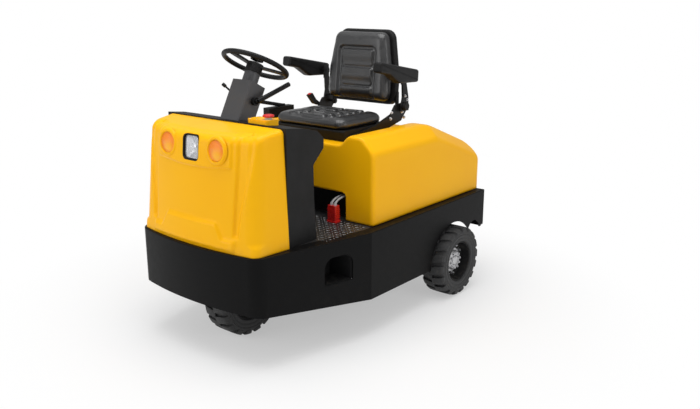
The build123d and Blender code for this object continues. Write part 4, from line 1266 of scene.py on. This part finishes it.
def bootPocket(sign, label):
    corners = [(foot["front"], foot["low"]), (foot["rear"], foot["low"]), (foot["rear"], foot["high"]),
               (foot["front"], foot["high"])]
    outline = roundCorners(corners, [0.004, 0.004, foot["corner"], foot["corner"]], 8)
    rings = []
    for depth in (0.0, 0.05, 0.5, 0.95, 1.0):
        ring = []
        for y, z in outline:
            outer = foot["skirtHalf"] - (foot["skirtY"] - y) * foot["skirtSlope"] - foot["skirtWall"]
            ring.append(Vector((sign * (outer + (foot["inner"] - outer) * depth), y, z)))
        rings.append(ring)
    points, faces = grid(rings, closedColumns=True)
    count = len(outline)
    faces.append(tuple(range(4 * count, 5 * count)))
    pocket = newPiece("bootPocket" + label, points, faces, "frame", "chassis")
    thicken(pocket, foot["wall"], 1.0)


bootPocket(1, "Left")
bootPocket(-1, "Right")
print("boot pockets in")


# Lights and floor

def studio():
    lamps = {"topSoft": {"place": (0.3, -0.6, 3.9), "aim": (0.0, 0.0, 0.7), "size": 3.0, "power": 92.0},
             "frontFill": {"place": (-1.8, -4.6, 2.1), "aim": (0.0, -0.6, 0.8), "size": 2.8, "power": 50.0},
             "sideFill": {"place": (4.6, 0.2, 2.0), "aim": (0.0, 0.2, 0.7), "size": 2.2, "power": 27.0}}
    for name, lamp in lamps.items():
        light = bpy.data.lights.new(name, "AREA")
        light.shape = "SQUARE"
        light.size = lamp["size"]
        light.energy = lamp["power"]
        holder = bpy.data.objects.new(name, light)
        holder.location = lamp["place"]
        aim = Vector(lamp["aim"]) - Vector(lamp["place"])
        holder.rotation_euler = aim.to_track_quat("-Z", "Y").to_euler()
        scene.collection.objects.link(holder)

    room = Look("paleRoom", bpy.data.worlds.new("paleRoom"))
    scene.world = room.owner
    lit = room.node("Background", {}, {"Color": (1.0, 1.0, 1.0), "Strength": 0.46})
    white = room.node("Background", {}, {"Color": (1.0, 1.0, 1.0), "Strength": 1.0})
    seen = room.rays("Is Camera Ray", "Is Transmission Ray")
    mixed = room.node("MixShader", {}, {0: seen, 1: lit, 2: white})
    room.node("OutputWorld", {}, {"Surface": mixed})

    floorMesh = bpy.data.meshes.new("floor")
    corners = [(x * 30, y * 30, -0.001) for x, y in ((-1, -1), (1, -1), (1, 1), (-1, 1))]
    floorMesh.from_pydata(corners, [], [(0, 1, 2, 3)])
    floor = bpy.data.objects.new("floor", floorMesh)
    scene.collection.objects.link(floor)
    look = Look("paleFloor")
    tint = look.mix(look.cloud(0.8, 2.0), (0.93, 0.93, 0.93), (0.95, 0.95, 0.95))
    flat = look.node("BsdfDiffuse", {}, {"Color": tint})
    white = look.node("Emission", {}, {"Color": (1.0, 1.0, 1.0), "Strength": 1.0})
    away = look.node("VectorMath", {"operation": "DISTANCE"}, {0: look.place(), 1: (0.0, 0.0, 0.0)}, "Value")
    lift = look.soft(away, 0.75, 2.0, 0.42, 1.0) * look.rays("Is Camera Ray", "Is Glossy Ray")
    shader = look.node("MixShader", {}, {0: lift, 1: flat, 2: white})
    look.node("OutputMaterial", {}, {"Surface": shader})
    floorMesh.materials.append(look.owner)
    scene.view_settings.view_transform = "Standard"


studio()
print("studio lit")
